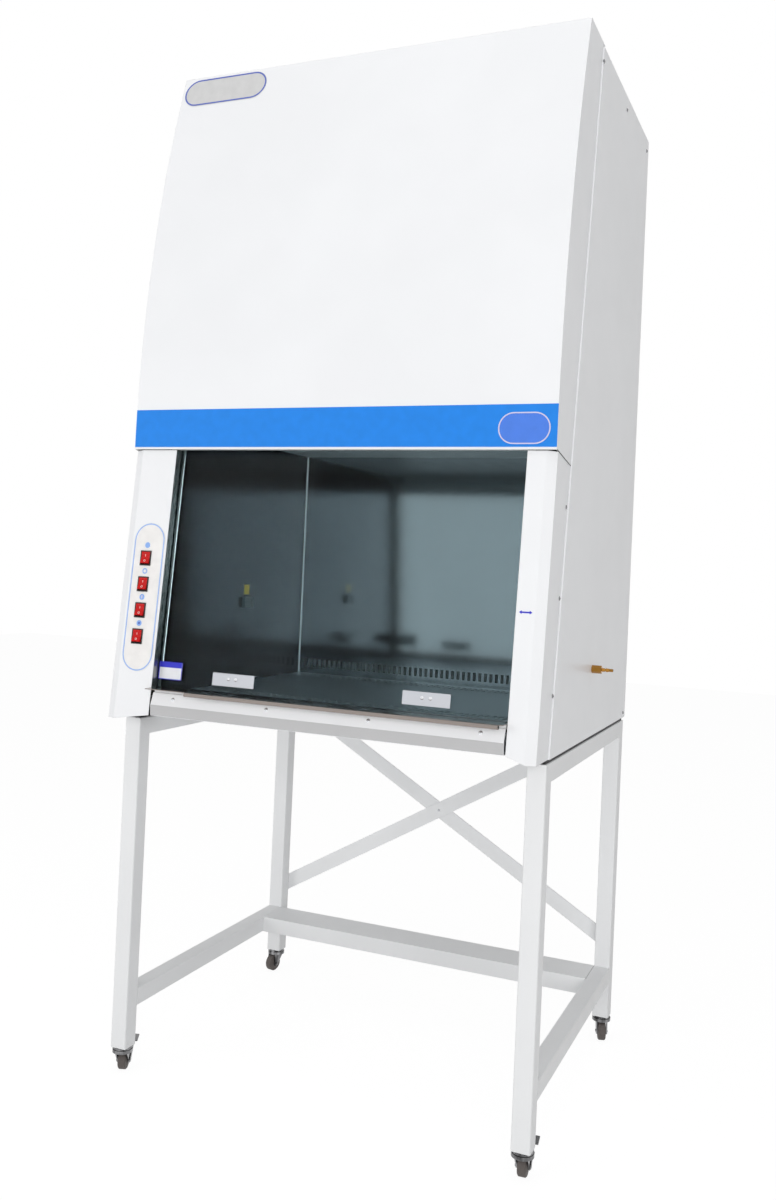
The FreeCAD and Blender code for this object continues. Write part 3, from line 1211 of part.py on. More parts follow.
doc.recompute()
faults = [o.Label for o in doc.Objects if "Invalid" in o.State or "Error" in o.State]
faults += [p.Label for p in parts if p.Shape.isNull() or not p.Shape.isValid()]
for feature in doc.Objects:
    if feature.TypeId == "PartDesign::Pocket" and feature.Label not in faults:
        if feature.Shape.Volume > feature.BaseFeature.Shape.Volume - 1e-3:
            faults.append(feature.Label + " cuts nothing")
if faults:
    raise RuntimeError("unsound: " + ", ".join(faults))
os.makedirs("parts", exist_ok=True)
for piece in parts:
    piece.Shape.exportStep(f"parts/{piece.Label}.step")
print(len(parts), "parts written")
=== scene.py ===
# %% [markdown]
# # A vertical laminar flow cabinet
#
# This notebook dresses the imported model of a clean-air cabinet. The model brings every panel,
# hinge and slide at its real place, in metres, with +Z up, +Y to the rear and the origin on the
# floor under the stand. What is left to do here is what a maker's paint shop, sheet-metal
# polisher and label printer would do: finishes, fasteners, printed film and light.

# %% Load the frame
import math

import bmesh
import bpy
from mathutils import Matrix, Vector
from mathutils.bvhtree import BVHTree


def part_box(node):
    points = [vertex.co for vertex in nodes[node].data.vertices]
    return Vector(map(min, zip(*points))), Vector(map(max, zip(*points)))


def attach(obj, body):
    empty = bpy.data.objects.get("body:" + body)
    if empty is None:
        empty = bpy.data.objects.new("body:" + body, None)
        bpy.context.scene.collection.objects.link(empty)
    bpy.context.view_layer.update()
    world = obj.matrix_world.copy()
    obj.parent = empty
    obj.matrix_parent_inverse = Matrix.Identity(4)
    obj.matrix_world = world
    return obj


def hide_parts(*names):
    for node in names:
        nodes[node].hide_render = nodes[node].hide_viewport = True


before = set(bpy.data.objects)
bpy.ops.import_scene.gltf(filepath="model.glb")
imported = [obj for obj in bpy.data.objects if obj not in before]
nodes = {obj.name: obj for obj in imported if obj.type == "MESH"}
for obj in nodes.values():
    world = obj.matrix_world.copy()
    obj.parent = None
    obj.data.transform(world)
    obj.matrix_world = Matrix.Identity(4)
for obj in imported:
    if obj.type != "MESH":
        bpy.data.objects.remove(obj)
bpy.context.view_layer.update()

MM = 0.001


# %% [markdown]
# ## Helpers
#
# Colours are written as the sRGB hex values one would pick from a swatch; shaders want linear
# values, so one function converts. One more function adds a shader or geometry node, sets its
# properties and sockets and links it, so that a tree reads as a short list.

# %% Colour and node helpers
def linear(swatch):
    """Linear RGBA from an sRGB hex string."""
    channels = [int(swatch[i:i + 2], 16) / 255 for i in (1, 3, 5)]
    return [c / 12.92 if c <= 0.04045 else ((c + 0.055) / 1.055) ** 2.4 for c in channels] + [1.0]


def add_node(tree, kind, sockets=None, **settings):
    """Add a node; a socket's value is a number, a tuple or another node's output."""
    made = tree.nodes.new(kind)
    for name, value in settings.items():
        setattr(made, name, value)
    for name, value in (sockets or {}).items():
        socket = made.inputs[name]
        if isinstance(value, bpy.types.NodeSocket):
            tree.links.new(value, socket)
        else:
            socket.default_value = value
    return made


def new_material(name):
    """An empty material with its tree and its output node."""
    material = bpy.data.materials.new(name)
    material.use_nodes = True
    tree = material.node_tree
    tree.nodes.clear()
    return material, tree, tree.nodes.new("ShaderNodeOutputMaterial")


def finish_with(tree, output, shader):
    tree.links.new(shader.outputs[0], output.inputs["Surface"])


def object_noise(tree, size, stretch=(1, 1, 1), detail=3, roughness=0.5):
    """Noise on object coordinates whose grains are about the given size in metres."""
    place = add_node(tree, "ShaderNodeTexCoord")
    mapped = add_node(tree, "ShaderNodeMapping", {"Vector": place.outputs["Object"],
                                                  "Scale": stretch})
    return add_node(tree, "ShaderNodeTexNoise", {
        "Vector": mapped.outputs[0], "Scale": 1 / size, "Detail": detail,
        "Roughness": roughness})


def ramp(tree, factor, low, high, to_low, to_high):
    """Map a factor from one range to another, held at its ends."""
    return add_node(tree, "ShaderNodeMapRange", {
        "Value": factor, "From Min": low, "From Max": high, "To Min": to_low, "To Max": to_high})


def mix_colour(tree, factor, first, second):
    mixed = add_node(tree, "ShaderNodeMix", {"Factor": factor}, data_type="RGBA")
    for socket, value in ((mixed.inputs[6], first), (mixed.inputs[7], second)):
        if isinstance(value, bpy.types.NodeSocket):
            tree.links.new(value, socket)
        else:
            socket.default_value = value
    return mixed.outputs[2]


# %% [markdown]
# ## Camera
#
# The product was photographed a little above the work surface, from the operator's right. The
# camera is set by its place, its turn to the left, its small tilt and roll, and a lens that
# keeps the whole stand in a tall frame.

# %% Camera
FRAME_WIDTH, FRAME_HEIGHT = 776, 1200
FOCAL_PIXELS, CENTRE_X, CENTRE_Y = 1082.2, 398.3, 552.64
CAMERA_PLACE = (0.9744, -2.3110, 1.1305)
YAW, PITCH, ROLL = math.radians(22.7854), math.radians(0.5733), math.radians(2.5657)

forward = Vector((-math.sin(YAW) * math.cos(PITCH), math.cos(YAW) * math.cos(PITCH),
                  math.sin(PITCH)))
level = Vector((math.cos(YAW), math.sin(YAW), 0))
upright = level.cross(forward)
right = level * math.cos(ROLL) + upright * math.sin(ROLL)
above = upright * math.cos(ROLL) - level * math.sin(ROLL)

lens_data = bpy.data.cameras.new("camera")
lens_data.lens = FOCAL_PIXELS / FRAME_HEIGHT * lens_data.sensor_width
lens_data.shift_x = (FRAME_WIDTH / 2 - CENTRE_X) / FRAME_HEIGHT
lens_data.shift_y = (CENTRE_Y - FRAME_HEIGHT / 2) / FRAME_HEIGHT
camera = bpy.data.objects.new("camera", lens_data)
turn = Matrix((right, above, -forward)).transposed().to_4x4()
camera.matrix_world = Matrix.Translation(CAMERA_PLACE) @ turn
bpy.context.scene.collection.objects.link(camera)
bpy.context.scene.camera = camera
bpy.context.scene.view_settings.view_transform = "Standard"
print("lens", round(lens_data.lens, 2), "mm")

# %% [markdown]
# ## Studio
#
# A white cove with a large soft light ahead on the right, a weaker one ahead on the left, one
# above, and a low even sky for the shaded sides. The sky is plain white where the camera, a
# mirror or glass looks at it, and softer where it only lights the paint, so white panels keep
# their tone. The floor glows a little for the camera, and keeps the shadow under the stand.

# %% Sky, floor and lights
SKY_LIGHT = 0.37
FLOOR_REACH, FLOOR_GLOW, GLOW_SHARE = 9.0, 1.07, 0.88
world = bpy.data.worlds.new("studio_sky")
bpy.context.scene.world = world
world.use_nodes = True
sky = world.node_tree
sky.nodes.clear()


def sees_backdrop(tree):
    """One where the ray comes from the camera, from a mirror or through glass."""
    ray = add_node(tree, "ShaderNodeLightPath")
    first = add_node(tree, "ShaderNodeMath", {0: ray.outputs["Is Camera Ray"],
                                              1: ray.outputs["Is Glossy Ray"]}, operation="MAXIMUM")
    return add_node(tree, "ShaderNodeMath", {0: first.outputs[0],
                                             1: ray.outputs["Is Transmission Ray"]},
                    operation="MAXIMUM").outputs[0]


strength = ramp(sky, sees_backdrop(sky), 0, 1, SKY_LIGHT, 1.0)
backdrop = add_node(sky, "ShaderNodeBackground", {"Color": linear("#FFFFFF"),
                                                  "Strength": strength.outputs[0]})
sky_out = sky.nodes.new("ShaderNodeOutputWorld")
sky.links.new(backdrop.outputs[0], sky_out.inputs["Surface"])


def area_light(name, place, target, size, watts):
    data = bpy.data.lights.new(name, "AREA")
    data.shape, data.size, data.size_y = "RECTANGLE", size[0], size[1]
    data.energy = watts
    made = bpy.data.objects.new(name, data)
    made.location = place
    made.rotation_euler = (Vector(target) - Vector(place)).to_track_quat("-Z", "Y").to_euler()
    bpy.context.scene.collection.objects.link(made)
    made.visible_glossy = False
    return made


area_light("key_light", (2.1, -4.3, 1.4), (0, 0, 1.0), (2.4, 2.2), 76)
area_light("left_light", (-2.8, -3.6, 1.5), (0, 0, 1.1), (1.8, 2.2), 40)
area_light("top_light", (0.2, -1.0, 4.4), (0, 0, 1.4), (2.4, 2.0), 24)


def plain_floor():
    """A wide floor that shows white to the camera, but darkens under the casters."""
    material, tree, output = new_material("studio_floor_paper")
    paper = add_node(tree, "ShaderNodeBsdfDiffuse", {"Color": linear("#F2F2F2")})
    glow = add_node(tree, "ShaderNodeEmission", {"Color": linear("#FFFFFF"), "Strength": FLOOR_GLOW})
    share = ramp(tree, sees_backdrop(tree), 0, 1, 0, GLOW_SHARE)
    mixed = add_node(tree, "ShaderNodeMixShader", {0: share.outputs[0], 1: paper.outputs[0],
                                                   2: glow.outputs[0]})
    finish_with(tree, output, mixed)
    mesh = bpy.data.meshes.new("studio_floor")
    corners = [(FLOOR_REACH * x, FLOOR_REACH * y, 0)
               for x, y in ((-1, -1), (1, -1), (1, 1), (-1, 1))]
    mesh.from_pydata(corners, [], [(0, 1, 2, 3)])
    mesh.materials.append(material)
    made = bpy.data.objects.new("studio_floor", mesh)
    bpy.context.scene.collection.objects.link(made)


plain_floor()

# %% [markdown]
# ## Powder coat
#
# The panels and the stand are mild steel with a white polyester powder coat, baked on. Powder
# melts into a hard film with a faint orange peel, so highlights break up a little, and a folded
# edge reads as a soft line, because the film rounds it. A bevel in the shading gives that edge.

# %% Powder coat
def powder_coat(name, swatch, peel=0.0022, gloss=0.34, round_edge=0.0012):
    material, tree, output = new_material(name)
    cloud = object_noise(tree, 0.22, detail=2)
    tone = mix_colour(tree, ramp(tree, cloud.outputs[0], 0.35, 0.65, 0, 0.35).outputs[0],
                      linear(swatch), [c * 0.93 for c in linear(swatch)[:3]] + [1.0])
    peel_noise = object_noise(tree, peel, detail=1)
    edge = add_node(tree, "ShaderNodeBevel", {"Radius": round_edge}, samples=4)
    bump = add_node(tree, "ShaderNodeBump", {
        "Height": peel_noise.outputs[0], "Strength": 0.25, "Distance": 0.0003,
        "Normal": edge.outputs[0]})
    grain = object_noise(tree, 0.03, detail=4)
    shader = add_node(tree, "ShaderNodeBsdfPrincipled", {
        "Base Color": tone, "Normal": bump.outputs[0], "IOR": 1.5,
        "Roughness": ramp(tree, grain.outputs[0], 0.3, 0.7, gloss - 0.04, gloss + 0.06).outputs[0]})
    finish_with(tree, output, shader)
    return material


cabinet_coat = powder_coat("powder_coat_white_cabinet", "#F4F5F7")
stand_coat = powder_coat("powder_coat_white_stand", "#EFF0F1", peel=0.003, gloss=0.4)
# A grey coat that paints the shade of the apron's lower band.
grey_painted_shade = powder_coat("grey_painted_shade_coat", "#C2C2C3", peel=0.003, gloss=0.5)

# %% [markdown]
# ## Stainless sheet
#
# The chamber is lined with cold-rolled stainless sheet. It is close to a dull mirror: the back
# wall shows the left wall and the bright room again, each darker than before. Fine rolling
# marks run up the sheet and stretch the reflections, so roughness and a very shallow bump
# follow a noise that is drawn out along one axis.

# %% Stainless sheet and other bare metals
def rolled_metal(name, swatch, roughness, grain=0.0016, stretch=(1, 1, 0.03), depth=0.00004,
                 cloud_share=0.3, mottle_and_painted_shade=0.8, cloud=0.16):
    material, tree, output = new_material(name)
    marks = object_noise(tree, grain, stretch, detail=2, roughness=0.7)
    patches = object_noise(tree, cloud, (1, 1, 0.4), detail=3)
    tone = mix_colour(tree, ramp(tree, patches.outputs[0], 0.3, 0.7, 0, cloud_share).outputs[0],
                      linear(swatch), [c * mottle_and_painted_shade for c in linear(swatch)[:3]] + [1.0])
    bump = add_node(tree, "ShaderNodeBump", {"Height": marks.outputs[0], "Strength": 0.3,
                                             "Distance": depth})
    shader = add_node(tree, "ShaderNodeBsdfPrincipled", {
        "Base Color": tone, "Metallic": 1.0, "Normal": bump.outputs[0],
        "Roughness": ramp(tree, marks.outputs[0], 0.3, 0.7, roughness - 0.04,
                          roughness + 0.05).outputs[0]})
    finish_with(tree, output, shader)
    return material


# The back wall shows the bright room. The side walls are the same sheet, but the operator sees
# them at a slant where they mirror the dark half of the chamber, so their swatch is deep: it is
# painted shade. The deck is rubbed by tools and cloths, so it is duller, and its swatch is paler
# than the back wall's: painted light.
chamber_steel = rolled_metal("cold_rolled_stainless_back", "#ACB1B6", 0.1)
side_steel_painted_shade = rolled_metal("cold_rolled_stainless_side_painted_shade", "#1F2327", 0.09)
deck_steel_painted_light = rolled_metal("cold_rolled_stainless_deck_painted_light", "#D0D6DA", 0.4, stretch=(0.03, 1, 1))
# The rolled edge's darker, browner swatch is painted shade along the bead.
lip_steel_painted_shade = rolled_metal("stainless_rolled_edge_painted_shade", "#9A918C", 0.2, stretch=(0.03, 1, 1))
# Zinc and nickel are thin coats on pressed or turned steel, with no rolling direction.
zinc_steel = rolled_metal("bright_zinc_steel", "#B9BCC0", 0.26, grain=0.004, stretch=(1, 1, 1))
nickel_plate = rolled_metal("nickel_plated_screw", "#8E8E90", 0.2, grain=0.002,
                            stretch=(1, 1, 1), cloud_share=0.1)
pedal_steel = rolled_metal("zinc_plated_pressing", "#8B8B8C", 0.3, grain=0.003,
                           stretch=(1, 1, 1), cloud_share=0.5)
# Hot-dip zinc freezes in large flat crystals, which read as soft patches.
galvanised = rolled_metal("galvanised_sheet", "#A9AEB0", 0.4, grain=0.012, stretch=(1, 1, 1),
                          cloud_share=0.7)
# Drawn and extruded aluminium has fine lines along its length and a pale, satin tone.
handle_metal = rolled_metal("anodised_aluminium_handle", "#D3D6DC", 0.34, stretch=(0.04, 1, 1))
guide_metal = rolled_metal("mill_aluminium_guide", "#A5A5A1", 0.28, stretch=(1, 1, 0.04))
bright_screw = rolled_metal("polished_nickel_screw", "#EDEFF2", 0.12, grain=0.002,
                            stretch=(1, 1, 1), cloud_share=0.1)
filter_metal = rolled_metal("mill_aluminium_filter", "#C4C7CA", 0.36, stretch=(0.04, 1, 1))
# The caster's small, deep dark patches are painted shade on the bright nickel.
caster_plate_painted_shade = rolled_metal("bright_nickel_caster_painted_shade", "#A2A2A4", 0.12, grain=0.006,
                            stretch=(1, 1, 1), cloud_share=1.0, mottle_and_painted_shade=0.12, cloud=0.014)
brass = rolled_metal("turned_brass", "#B4823C", 0.2, grain=0.0008, stretch=(0.05, 1, 1))

# %% [markdown]
# ## Plastics, rubber, paper and foam
#
# Moulded pieces share one recipe: a base colour, a fine spark texture from the mould, and a
# sheen that depends on how the mould was polished.

# %% Plastics, rubber, paper and foam
def moulded(name, swatch, roughness, grain=0.0012, depth=0.00006, **sockets):
    material, tree, output = new_material(name)
    spark = object_noise(tree, grain, detail=2)
    cloud = object_noise(tree, 0.02, detail=2)
    tone = mix_colour(tree, ramp(tree, cloud.outputs[0], 0.3, 0.7, 0, 0.5).outputs[0],
                      linear(swatch), [c * 0.86 for c in linear(swatch)[:3]] + [1.0])
    bump = add_node(tree, "ShaderNodeBump", {"Height": spark.outputs[0], "Strength": 0.3,
                                             "Distance": depth})
    values = {"Base Color": tone, "Normal": bump.outputs[0], "IOR": 1.5,
              "Roughness": ramp(tree, spark.outputs[0], 0.3, 0.7, roughness - 0.03,
                                roughness + 0.05).outputs[0]}
    values.update({key.replace("_", " "): value for key, value in sockets.items()})
    finish_with(tree, output, add_node(tree, "ShaderNodeBsdfPrincipled", values))
    return material


black_nylon = moulded("black_nylon_moulded", "#1E1F21", 0.45)
switch_black = moulded("black_abs_switch", "#1C1714", 0.3)
rocker_red = moulded("red_polycarbonate_rocker", "#C60202", 0.26, Specular_IOR_Level=0.3)
tread_rubber = moulded("grey_rubber_tread", "#5E5855", 0.62, grain=0.0009, depth=0.0001)
plate_film = moulded("printed_polyester_film", "#F4F2F0", 0.36)
band_film = moulded("blue_vinyl_film", "#2A8AEC", 0.4, Specular_IOR_Level=0.25)
socket_grey = moulded("grey_abs_socket", "#535C5F", 0.35)
lamp_enamel = moulded("white_baked_enamel", "#E6E8E8", 0.3)
motor_enamel = moulded("dark_baked_enamel", "#33373A", 0.4)
foam_grey = moulded("open_cell_foam", "#4A4D50", 0.9, grain=0.003, depth=0.0012)
filter_paper = moulded("glass_fibre_paper", "#EDEDE8", 0.85, grain=0.002, depth=0.0002)
# Pale sealant that glows a little: a painted highlight for the bright corner lines.
sealant_painted_highlight = moulded("clear_silicone_painted_highlight", "#D6DDE2", 0.2, Emission_Strength=0.1,
                        Emission_Color=linear("#FFFFFF"))
# Black rubber for the seats; the same dark strip also paints the shadow in the hood joint.
black_rubber_and_painted_shadow = moulded("black_epdm_and_painted_shadow", "#2A2A2B", 0.7, grain=0.001, depth=0.0001)

# %% [markdown]
# ## Printing inks and label stock
#
# Labels are polyester film, printed with screen inks. Ink is opaque and satin, so it shares the
# recipe of the moulded plastics, with a grain that is almost too fine to see.

# %% Printing inks and label stock
def printed(name, swatch, roughness=0.34):
    return moulded(name, swatch, roughness, grain=0.0006, depth=0.00002)


grey_card = printed("grey_label_film", "#D3D3D3")
card_white = printed("white_label_film", "#EEF0F4")
card_yellow = printed("yellow_label_film", "#E8C630")
badge_blue = printed("blue_badge_film", "#4C82E8", 0.26)
ink_blue = printed("blue_screen_ink", "#5468C0")
ink_blue_light = printed("light_blue_screen_ink", "#8FB6F4")
ink_sky = printed("pale_blue_screen_ink", "#9DBCF2")
ink_deep = printed("deep_blue_screen_ink", "#2B2FC8")
ink_pale = printed("pale_grey_screen_ink", "#D9D3EA")
ink_white = printed("white_screen_ink", "#F4D8D2")
ink_dark = printed("black_screen_ink", "#2C2C2C")

# %% [markdown]
# ## Glass
#
# The sash is 6 mm float glass. It is clear with a faint green-grey body colour, and it lets the
# light of the room in: shadow rays pass through it with the same tint, because a renderer
# would otherwise treat the pane as a dark shutter. Float glass has an IOR of about 1.5, but the
# real pane shows only a thin veil of the room over the dark chamber, and a lower value matches it.

# %% Glass
PANE_IOR = 1.12


def float_glass(name, swatch, through, roughness=0.0):
    material, tree, output = new_material(name)
    smear = object_noise(tree, 0.09, (1, 1, 0.5), detail=3)
    body = add_node(tree, "ShaderNodeBsdfPrincipled", {
        "Base Color": linear(swatch), "IOR": PANE_IOR, "Transmission Weight": 1.0,
        "Roughness": ramp(tree, smear.outputs[0], 0.45, 0.75, roughness,
                          roughness + 0.02).outputs[0]})
    open_pane = add_node(tree, "ShaderNodeBsdfTransparent", {"Color": linear(through)})
    ray = add_node(tree, "ShaderNodeLightPath")
    mixed = add_node(tree, "ShaderNodeMixShader", {0: ray.outputs["Is Shadow Ray"],
                                                   1: body.outputs[0], 2: open_pane.outputs[0]})
    finish_with(tree, output, mixed)
    return material


sash_glass = float_glass("float_glass_sash", "#D6E2E4", "#B9C6C9")
tube_glass = moulded("opal_lamp_glass", "#DDE4E6", 0.2)

# %% [markdown]
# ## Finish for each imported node
#
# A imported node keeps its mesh; only its material changes.

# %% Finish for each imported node
FINISHES = {
    stand_coat: ("stand_", "cross_brace"),
    cabinet_coat: ("base_pan", "side_panel", "rear_panel", "top_panel", "hood_cover", "column",
                   "front_apron", "diffuser"),
    zinc_steel: ("stand_bolts", "sash_handle_screws", "blower_shaft"),
    pedal_steel: ("caster_brake",),
    black_rubber_and_painted_shadow: ("rubber_seats",),
    caster_plate_painted_shade: ("caster_fork", "caster_stems"),
    tread_rubber: ("caster_wheel",),
    black_nylon: ("leg_plugs", "cable_gland"),
    guide_metal: ("sash_guides",),
    foam_grey: ("intake_filter",),
    band_film: ("colour_band",),
    sash_glass: ("sash_glass",),
    handle_metal: ("sash_handles",),
    chamber_steel: ("chamber_back",),
    side_steel_painted_shade: ("chamber_side",),
    deck_steel_painted_light: ("work_surface",),
    lip_steel_painted_shade: ("front_lip",),
    galvanised: ("filter_plenum", "blower_housing", "blower_wheel"),
    filter_metal: ("filter_frame",),
    filter_paper: ("filter_pleats",),
    motor_enamel: ("blower_motor",),
    lamp_enamel: ("lamp_fittings",),
    tube_glass: ("lamp_tubes",),
    plate_film: ("switch_plate",),
    switch_black: ("switch_bodies",),
    rocker_red: ("rocker_",),
    socket_grey: ("power_socket",),
    brass: ("gas_inlet",),
}


def finish_of(name):
    fitting = [(len(start), material) for material, starts in FINISHES.items()
               for start in starts if name.startswith(start)]
    return max(fitting, key=lambda pair: pair[0])[1]


for name, packed in nodes.items():
    packed.data.materials.clear()
    packed.data.materials.append(finish_of(name))

# %% [markdown]
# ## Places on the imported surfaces
#
# Screws, labels and printed marks sit on panels that lean or curve. A ray that is sent at the
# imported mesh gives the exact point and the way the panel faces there, so each of these pieces
# touches its panel and stays right if the panel's size changes. A site keeps that point and the
# two directions that run along the panel from it.

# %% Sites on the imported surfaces
TREES = {}


def touch(node, start, way):
    """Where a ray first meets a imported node, and the way the surface faces there."""
    if node not in TREES:
        TREES[node] = BVHTree.FromObject(nodes[node], bpy.context.evaluated_depsgraph_get())
    place, facing, _, _ = TREES[node].ray_cast(Vector(start), Vector(way))
    if place is None:
        raise ValueError(f"no surface of {node} from {tuple(start)}")
    return place, facing if facing.dot(Vector(way)) < 0 else -facing


def site_on(node, start, way, upward=(0, 0, 1)):
    """A place on a panel with directions across it, up it and out of it."""
    place, facing = touch(node, start, way)
    across = Vector(upward).cross(facing).normalized()
    return place, across, facing.cross(across), facing


def lay(site, across, up, out):
    return site[0] + site[1] * across + site[2] * up + site[3] * out


FROM_FRONT, FROM_RIGHT, FROM_LEFT = (0, 1, 0), (-1, 0, 0), (1, 0, 0)
FROM_BEHIND, FROM_ABOVE = (0, -1, 0), (0, 0, -1)
FAR = 3.0
print("hood faces", tuple(round(v, 3) for v in touch("hood_cover", (0, -FAR, 1.8), FROM_FRONT)[1]))

# %% [markdown]
# ## Fastener heads with Geometry Nodes
#
# The shell is held by small cross-slot screws and blind rivets, all alike. One tree makes the
# head once and puts a copy on every point of a small point cloud. The points carry a vector
# named facing, which turns each head to its own panel. The head is a flattened ball, and the
# cross is cut out of it by a boolean with two bars. A rivet is the same head with no cross.

# %% Tree for fastener heads
def new_tree(name, inputs):
    """A geometry tree with its input and output nodes and its named inputs."""
    tree = bpy.data.node_groups.new(name, "GeometryNodeTree")
    tree.interface.new_socket("Geometry", in_out="INPUT", socket_type="NodeSocketGeometry")
    for label, kind, value in inputs:
        socket = tree.interface.new_socket(label, in_out="INPUT", socket_type=kind)
        if value is not None:
            socket.default_value = value
    tree.interface.new_socket("Geometry", in_out="OUTPUT", socket_type="NodeSocketGeometry")
    return tree, tree.nodes.new("NodeGroupInput"), tree.nodes.new("NodeGroupOutput")


def end_tree(tree, given, output, geometry):
    """Realize the copies, give them the finish and hand them out."""
    real = add_node(tree, "GeometryNodeRealizeInstances", {"Geometry": geometry})
    finished = add_node(tree, "GeometryNodeSetMaterial", {
        "Geometry": real.outputs[0], "Material": given.outputs["Material"]})
    tree.links.new(finished.outputs[0], output.inputs[0])


def maths(tree, operation, first, second):
    return add_node(tree, "ShaderNodeMath", {0: first, 1: second}, operation=operation).outputs[0]


def fastener_tree():
    tree, given, output = new_tree("fastener_heads", [
        ("Head Radius", "NodeSocketFloat", 0.0035), ("Dome", "NodeSocketFloat", 0.5),
        ("Cross Depth", "NodeSocketFloat", 0.001), ("Material", "NodeSocketMaterial", None)])
    radius = given.outputs["Head Radius"]
    ball = add_node(tree, "GeometryNodeMeshUVSphere", {"Segments": 20, "Rings": 10,
                                                       "Radius": radius})
    flat = add_node(tree, "ShaderNodeCombineXYZ", {"X": 1.0, "Y": 1.0, "Z": given.outputs["Dome"]})
    head = add_node(tree, "GeometryNodeTransform", {"Geometry": ball.outputs[0],
                                                    "Scale": flat.outputs[0]})
    long_side = maths(tree, "MULTIPLY", radius, 1.15)
    short_side = maths(tree, "MULTIPLY", radius, 0.26)
    crown = maths(tree, "MULTIPLY", radius, given.outputs["Dome"])
    floor_of_cross = maths(tree, "SUBTRACT", crown, given.outputs["Cross Depth"])
    centre = add_node(tree, "ShaderNodeCombineXYZ", {
        "Z": maths(tree, "ADD", floor_of_cross, maths(tree, "MULTIPLY", radius, 0.5))})
    bars = []
    for first, second in ((long_side, short_side), (short_side, long_side)):
        size = add_node(tree, "ShaderNodeCombineXYZ", {"X": first, "Y": second, "Z": radius})
        bar = add_node(tree, "GeometryNodeMeshCube", {"Size": size.outputs[0]})
        bars.append(add_node(tree, "GeometryNodeTransform", {
            "Geometry": bar.outputs[0], "Translation": centre.outputs[0]}).outputs[0])
    cut = add_node(tree, "GeometryNodeMeshBoolean", {0: head.outputs[0]}, operation="DIFFERENCE")
    for bar in bars:
        tree.links.new(bar, cut.inputs[1])
    facing = add_node(tree, "GeometryNodeInputNamedAttribute", {"Name": "facing"},
                      data_type="FLOAT_VECTOR")
    turned = add_node(tree, "FunctionNodeAlignRotationToVector", {
        "Vector": facing.outputs[0]}, axis="Z")
    copies = add_node(tree, "GeometryNodeInstanceOnPoints", {
        "Points": given.outputs["Geometry"], "Instance": cut.outputs[0],
        "Rotation": turned.outputs[0]})
    end_tree(tree, given, output, copies.outputs[0])
    return tree


def settle(name, mesh, tree, inputs, body):
    """Run a tree on a mesh, keep the result as a plain mesh and let it ride on its body."""
    source = bpy.data.objects.new(name + "_source", mesh)
    bpy.context.scene.collection.objects.link(source)
    modifier = source.modifiers.new("tree", "NODES")
    modifier.node_group = tree
    for item in tree.interface.items_tree:
        if item.in_out == "INPUT" and item.name in inputs:
            modifier[item.identifier] = inputs[item.name]
    source.update_tag()
    shown = source.evaluated_get(bpy.context.evaluated_depsgraph_get())
    result = bpy.data.meshes.new_from_object(shown)
    source.modifiers.clear()
    bpy.data.objects.remove(source)
    return place_piece(name, result, body)


def place_piece(name, mesh, body):
    piece = bpy.data.objects.new(name, mesh)
    bpy.context.scene.collection.objects.link(piece)
    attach(piece, body)
    print(f"{name}: {len(mesh.polygons)} faces on {body}")
    return piece


def facing_points(name, sites):
    """A point cloud whose points carry the way that their panels face."""
    mesh = bpy.data.meshes.new(name)
    mesh.from_pydata([place for place, _ in sites], [], [])
    facing = mesh.attributes.new("facing", "FLOAT_VECTOR", "POINT")
    for index, (_, way) in enumerate(sites):
        facing.data[index].vector = way
    return mesh


HEADS = fastener_tree()

# %% [markdown]
# ## Screws of the shell
#
# Cross-slot pan heads hold the side panels, the rear and top panels and the apron. They are
# nickel-plated steel. Each row follows the panel edge that it clamps. The screws of the sides
# are listed by their depth and height in metres, and the same list serves both sides.

# %% Screws of the shell
COLUMN_SCREWS = ((-0.288, 1.252), (-0.310, 1.078), (-0.330, 0.896), (-0.328, 0.790))
PANEL_SCREWS = ((0.350, 0.791), (-0.145, 2.170), (0.100, 2.170), (0.350, 2.170))
APRON_SCREWS, APRON_SCREW_LEVEL = (-0.3065, -0.0866, 0.1357, 0.3608), 0.829
SCREW_EDGE, ROW_END, REAR_ROWS = 9 * MM, 30 * MM, 8
SHELL_HEAD, APRON_HEAD = 4.4 * MM, 4.2 * MM
rear_low, rear_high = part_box("rear_panel")
top_low, top_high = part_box("top_panel")

screw_sites = []
for side, start_x, way in (("right", FAR, FROM_RIGHT), ("left", -FAR, FROM_LEFT)):
    for node, rows in (("column_" + side, COLUMN_SCREWS), ("side_panel_" + side, PANEL_SCREWS)):
        screw_sites += [touch(node, (start_x, depth, height), way) for depth, height in rows]

rear_height = rear_high[2] - rear_low[2] - 2 * ROW_END
for row in range(REAR_ROWS):
    height = rear_low[2] + ROW_END + rear_height * row / (REAR_ROWS - 1)
    for x in (rear_low[0] + SCREW_EDGE, rear_high[0] - SCREW_EDGE):
        screw_sites.append(touch("rear_panel", (x, FAR, height), FROM_BEHIND))
for across in (-0.3, 0.0, 0.3):
    for height in (rear_low[2] + SCREW_EDGE, rear_high[2] - SCREW_EDGE):
        screw_sites.append(touch("rear_panel", (across, FAR, height), FROM_BEHIND))
for x in (top_low[0] + SCREW_EDGE, top_high[0] - SCREW_EDGE):
    for share in (0.08, 0.5, 0.92):
        y = top_low[1] + (top_high[1] - top_low[1]) * share
        screw_sites.append(touch("top_panel", (x, y, FAR), FROM_ABOVE))
apron_sites = [touch("front_apron", (x, -FAR, APRON_SCREW_LEVEL), FROM_FRONT)
               for x in APRON_SCREWS]
settle("apron_screws", facing_points("apron_screw_points", apron_sites), HEADS,
       {"Head Radius": APRON_HEAD, "Dome": 0.5, "Cross Depth": 1.8 * MM,
        "Material": bright_screw}, "cabinet")
settle("shell_screws", facing_points("shell_screw_points", screw_sites), HEADS,
       {"Head Radius": SHELL_HEAD, "Dome": 0.5, "Cross Depth": 1.1 * MM,
        "Material": nickel_plate}, "cabinet")

# %% [markdown]
# ## Rivets of the hood
#
# The curved hood sheet is riveted to the flange behind its front edge. The rivets follow the
# hood's own curve at an even pitch, a little way behind the front, and are painted over.

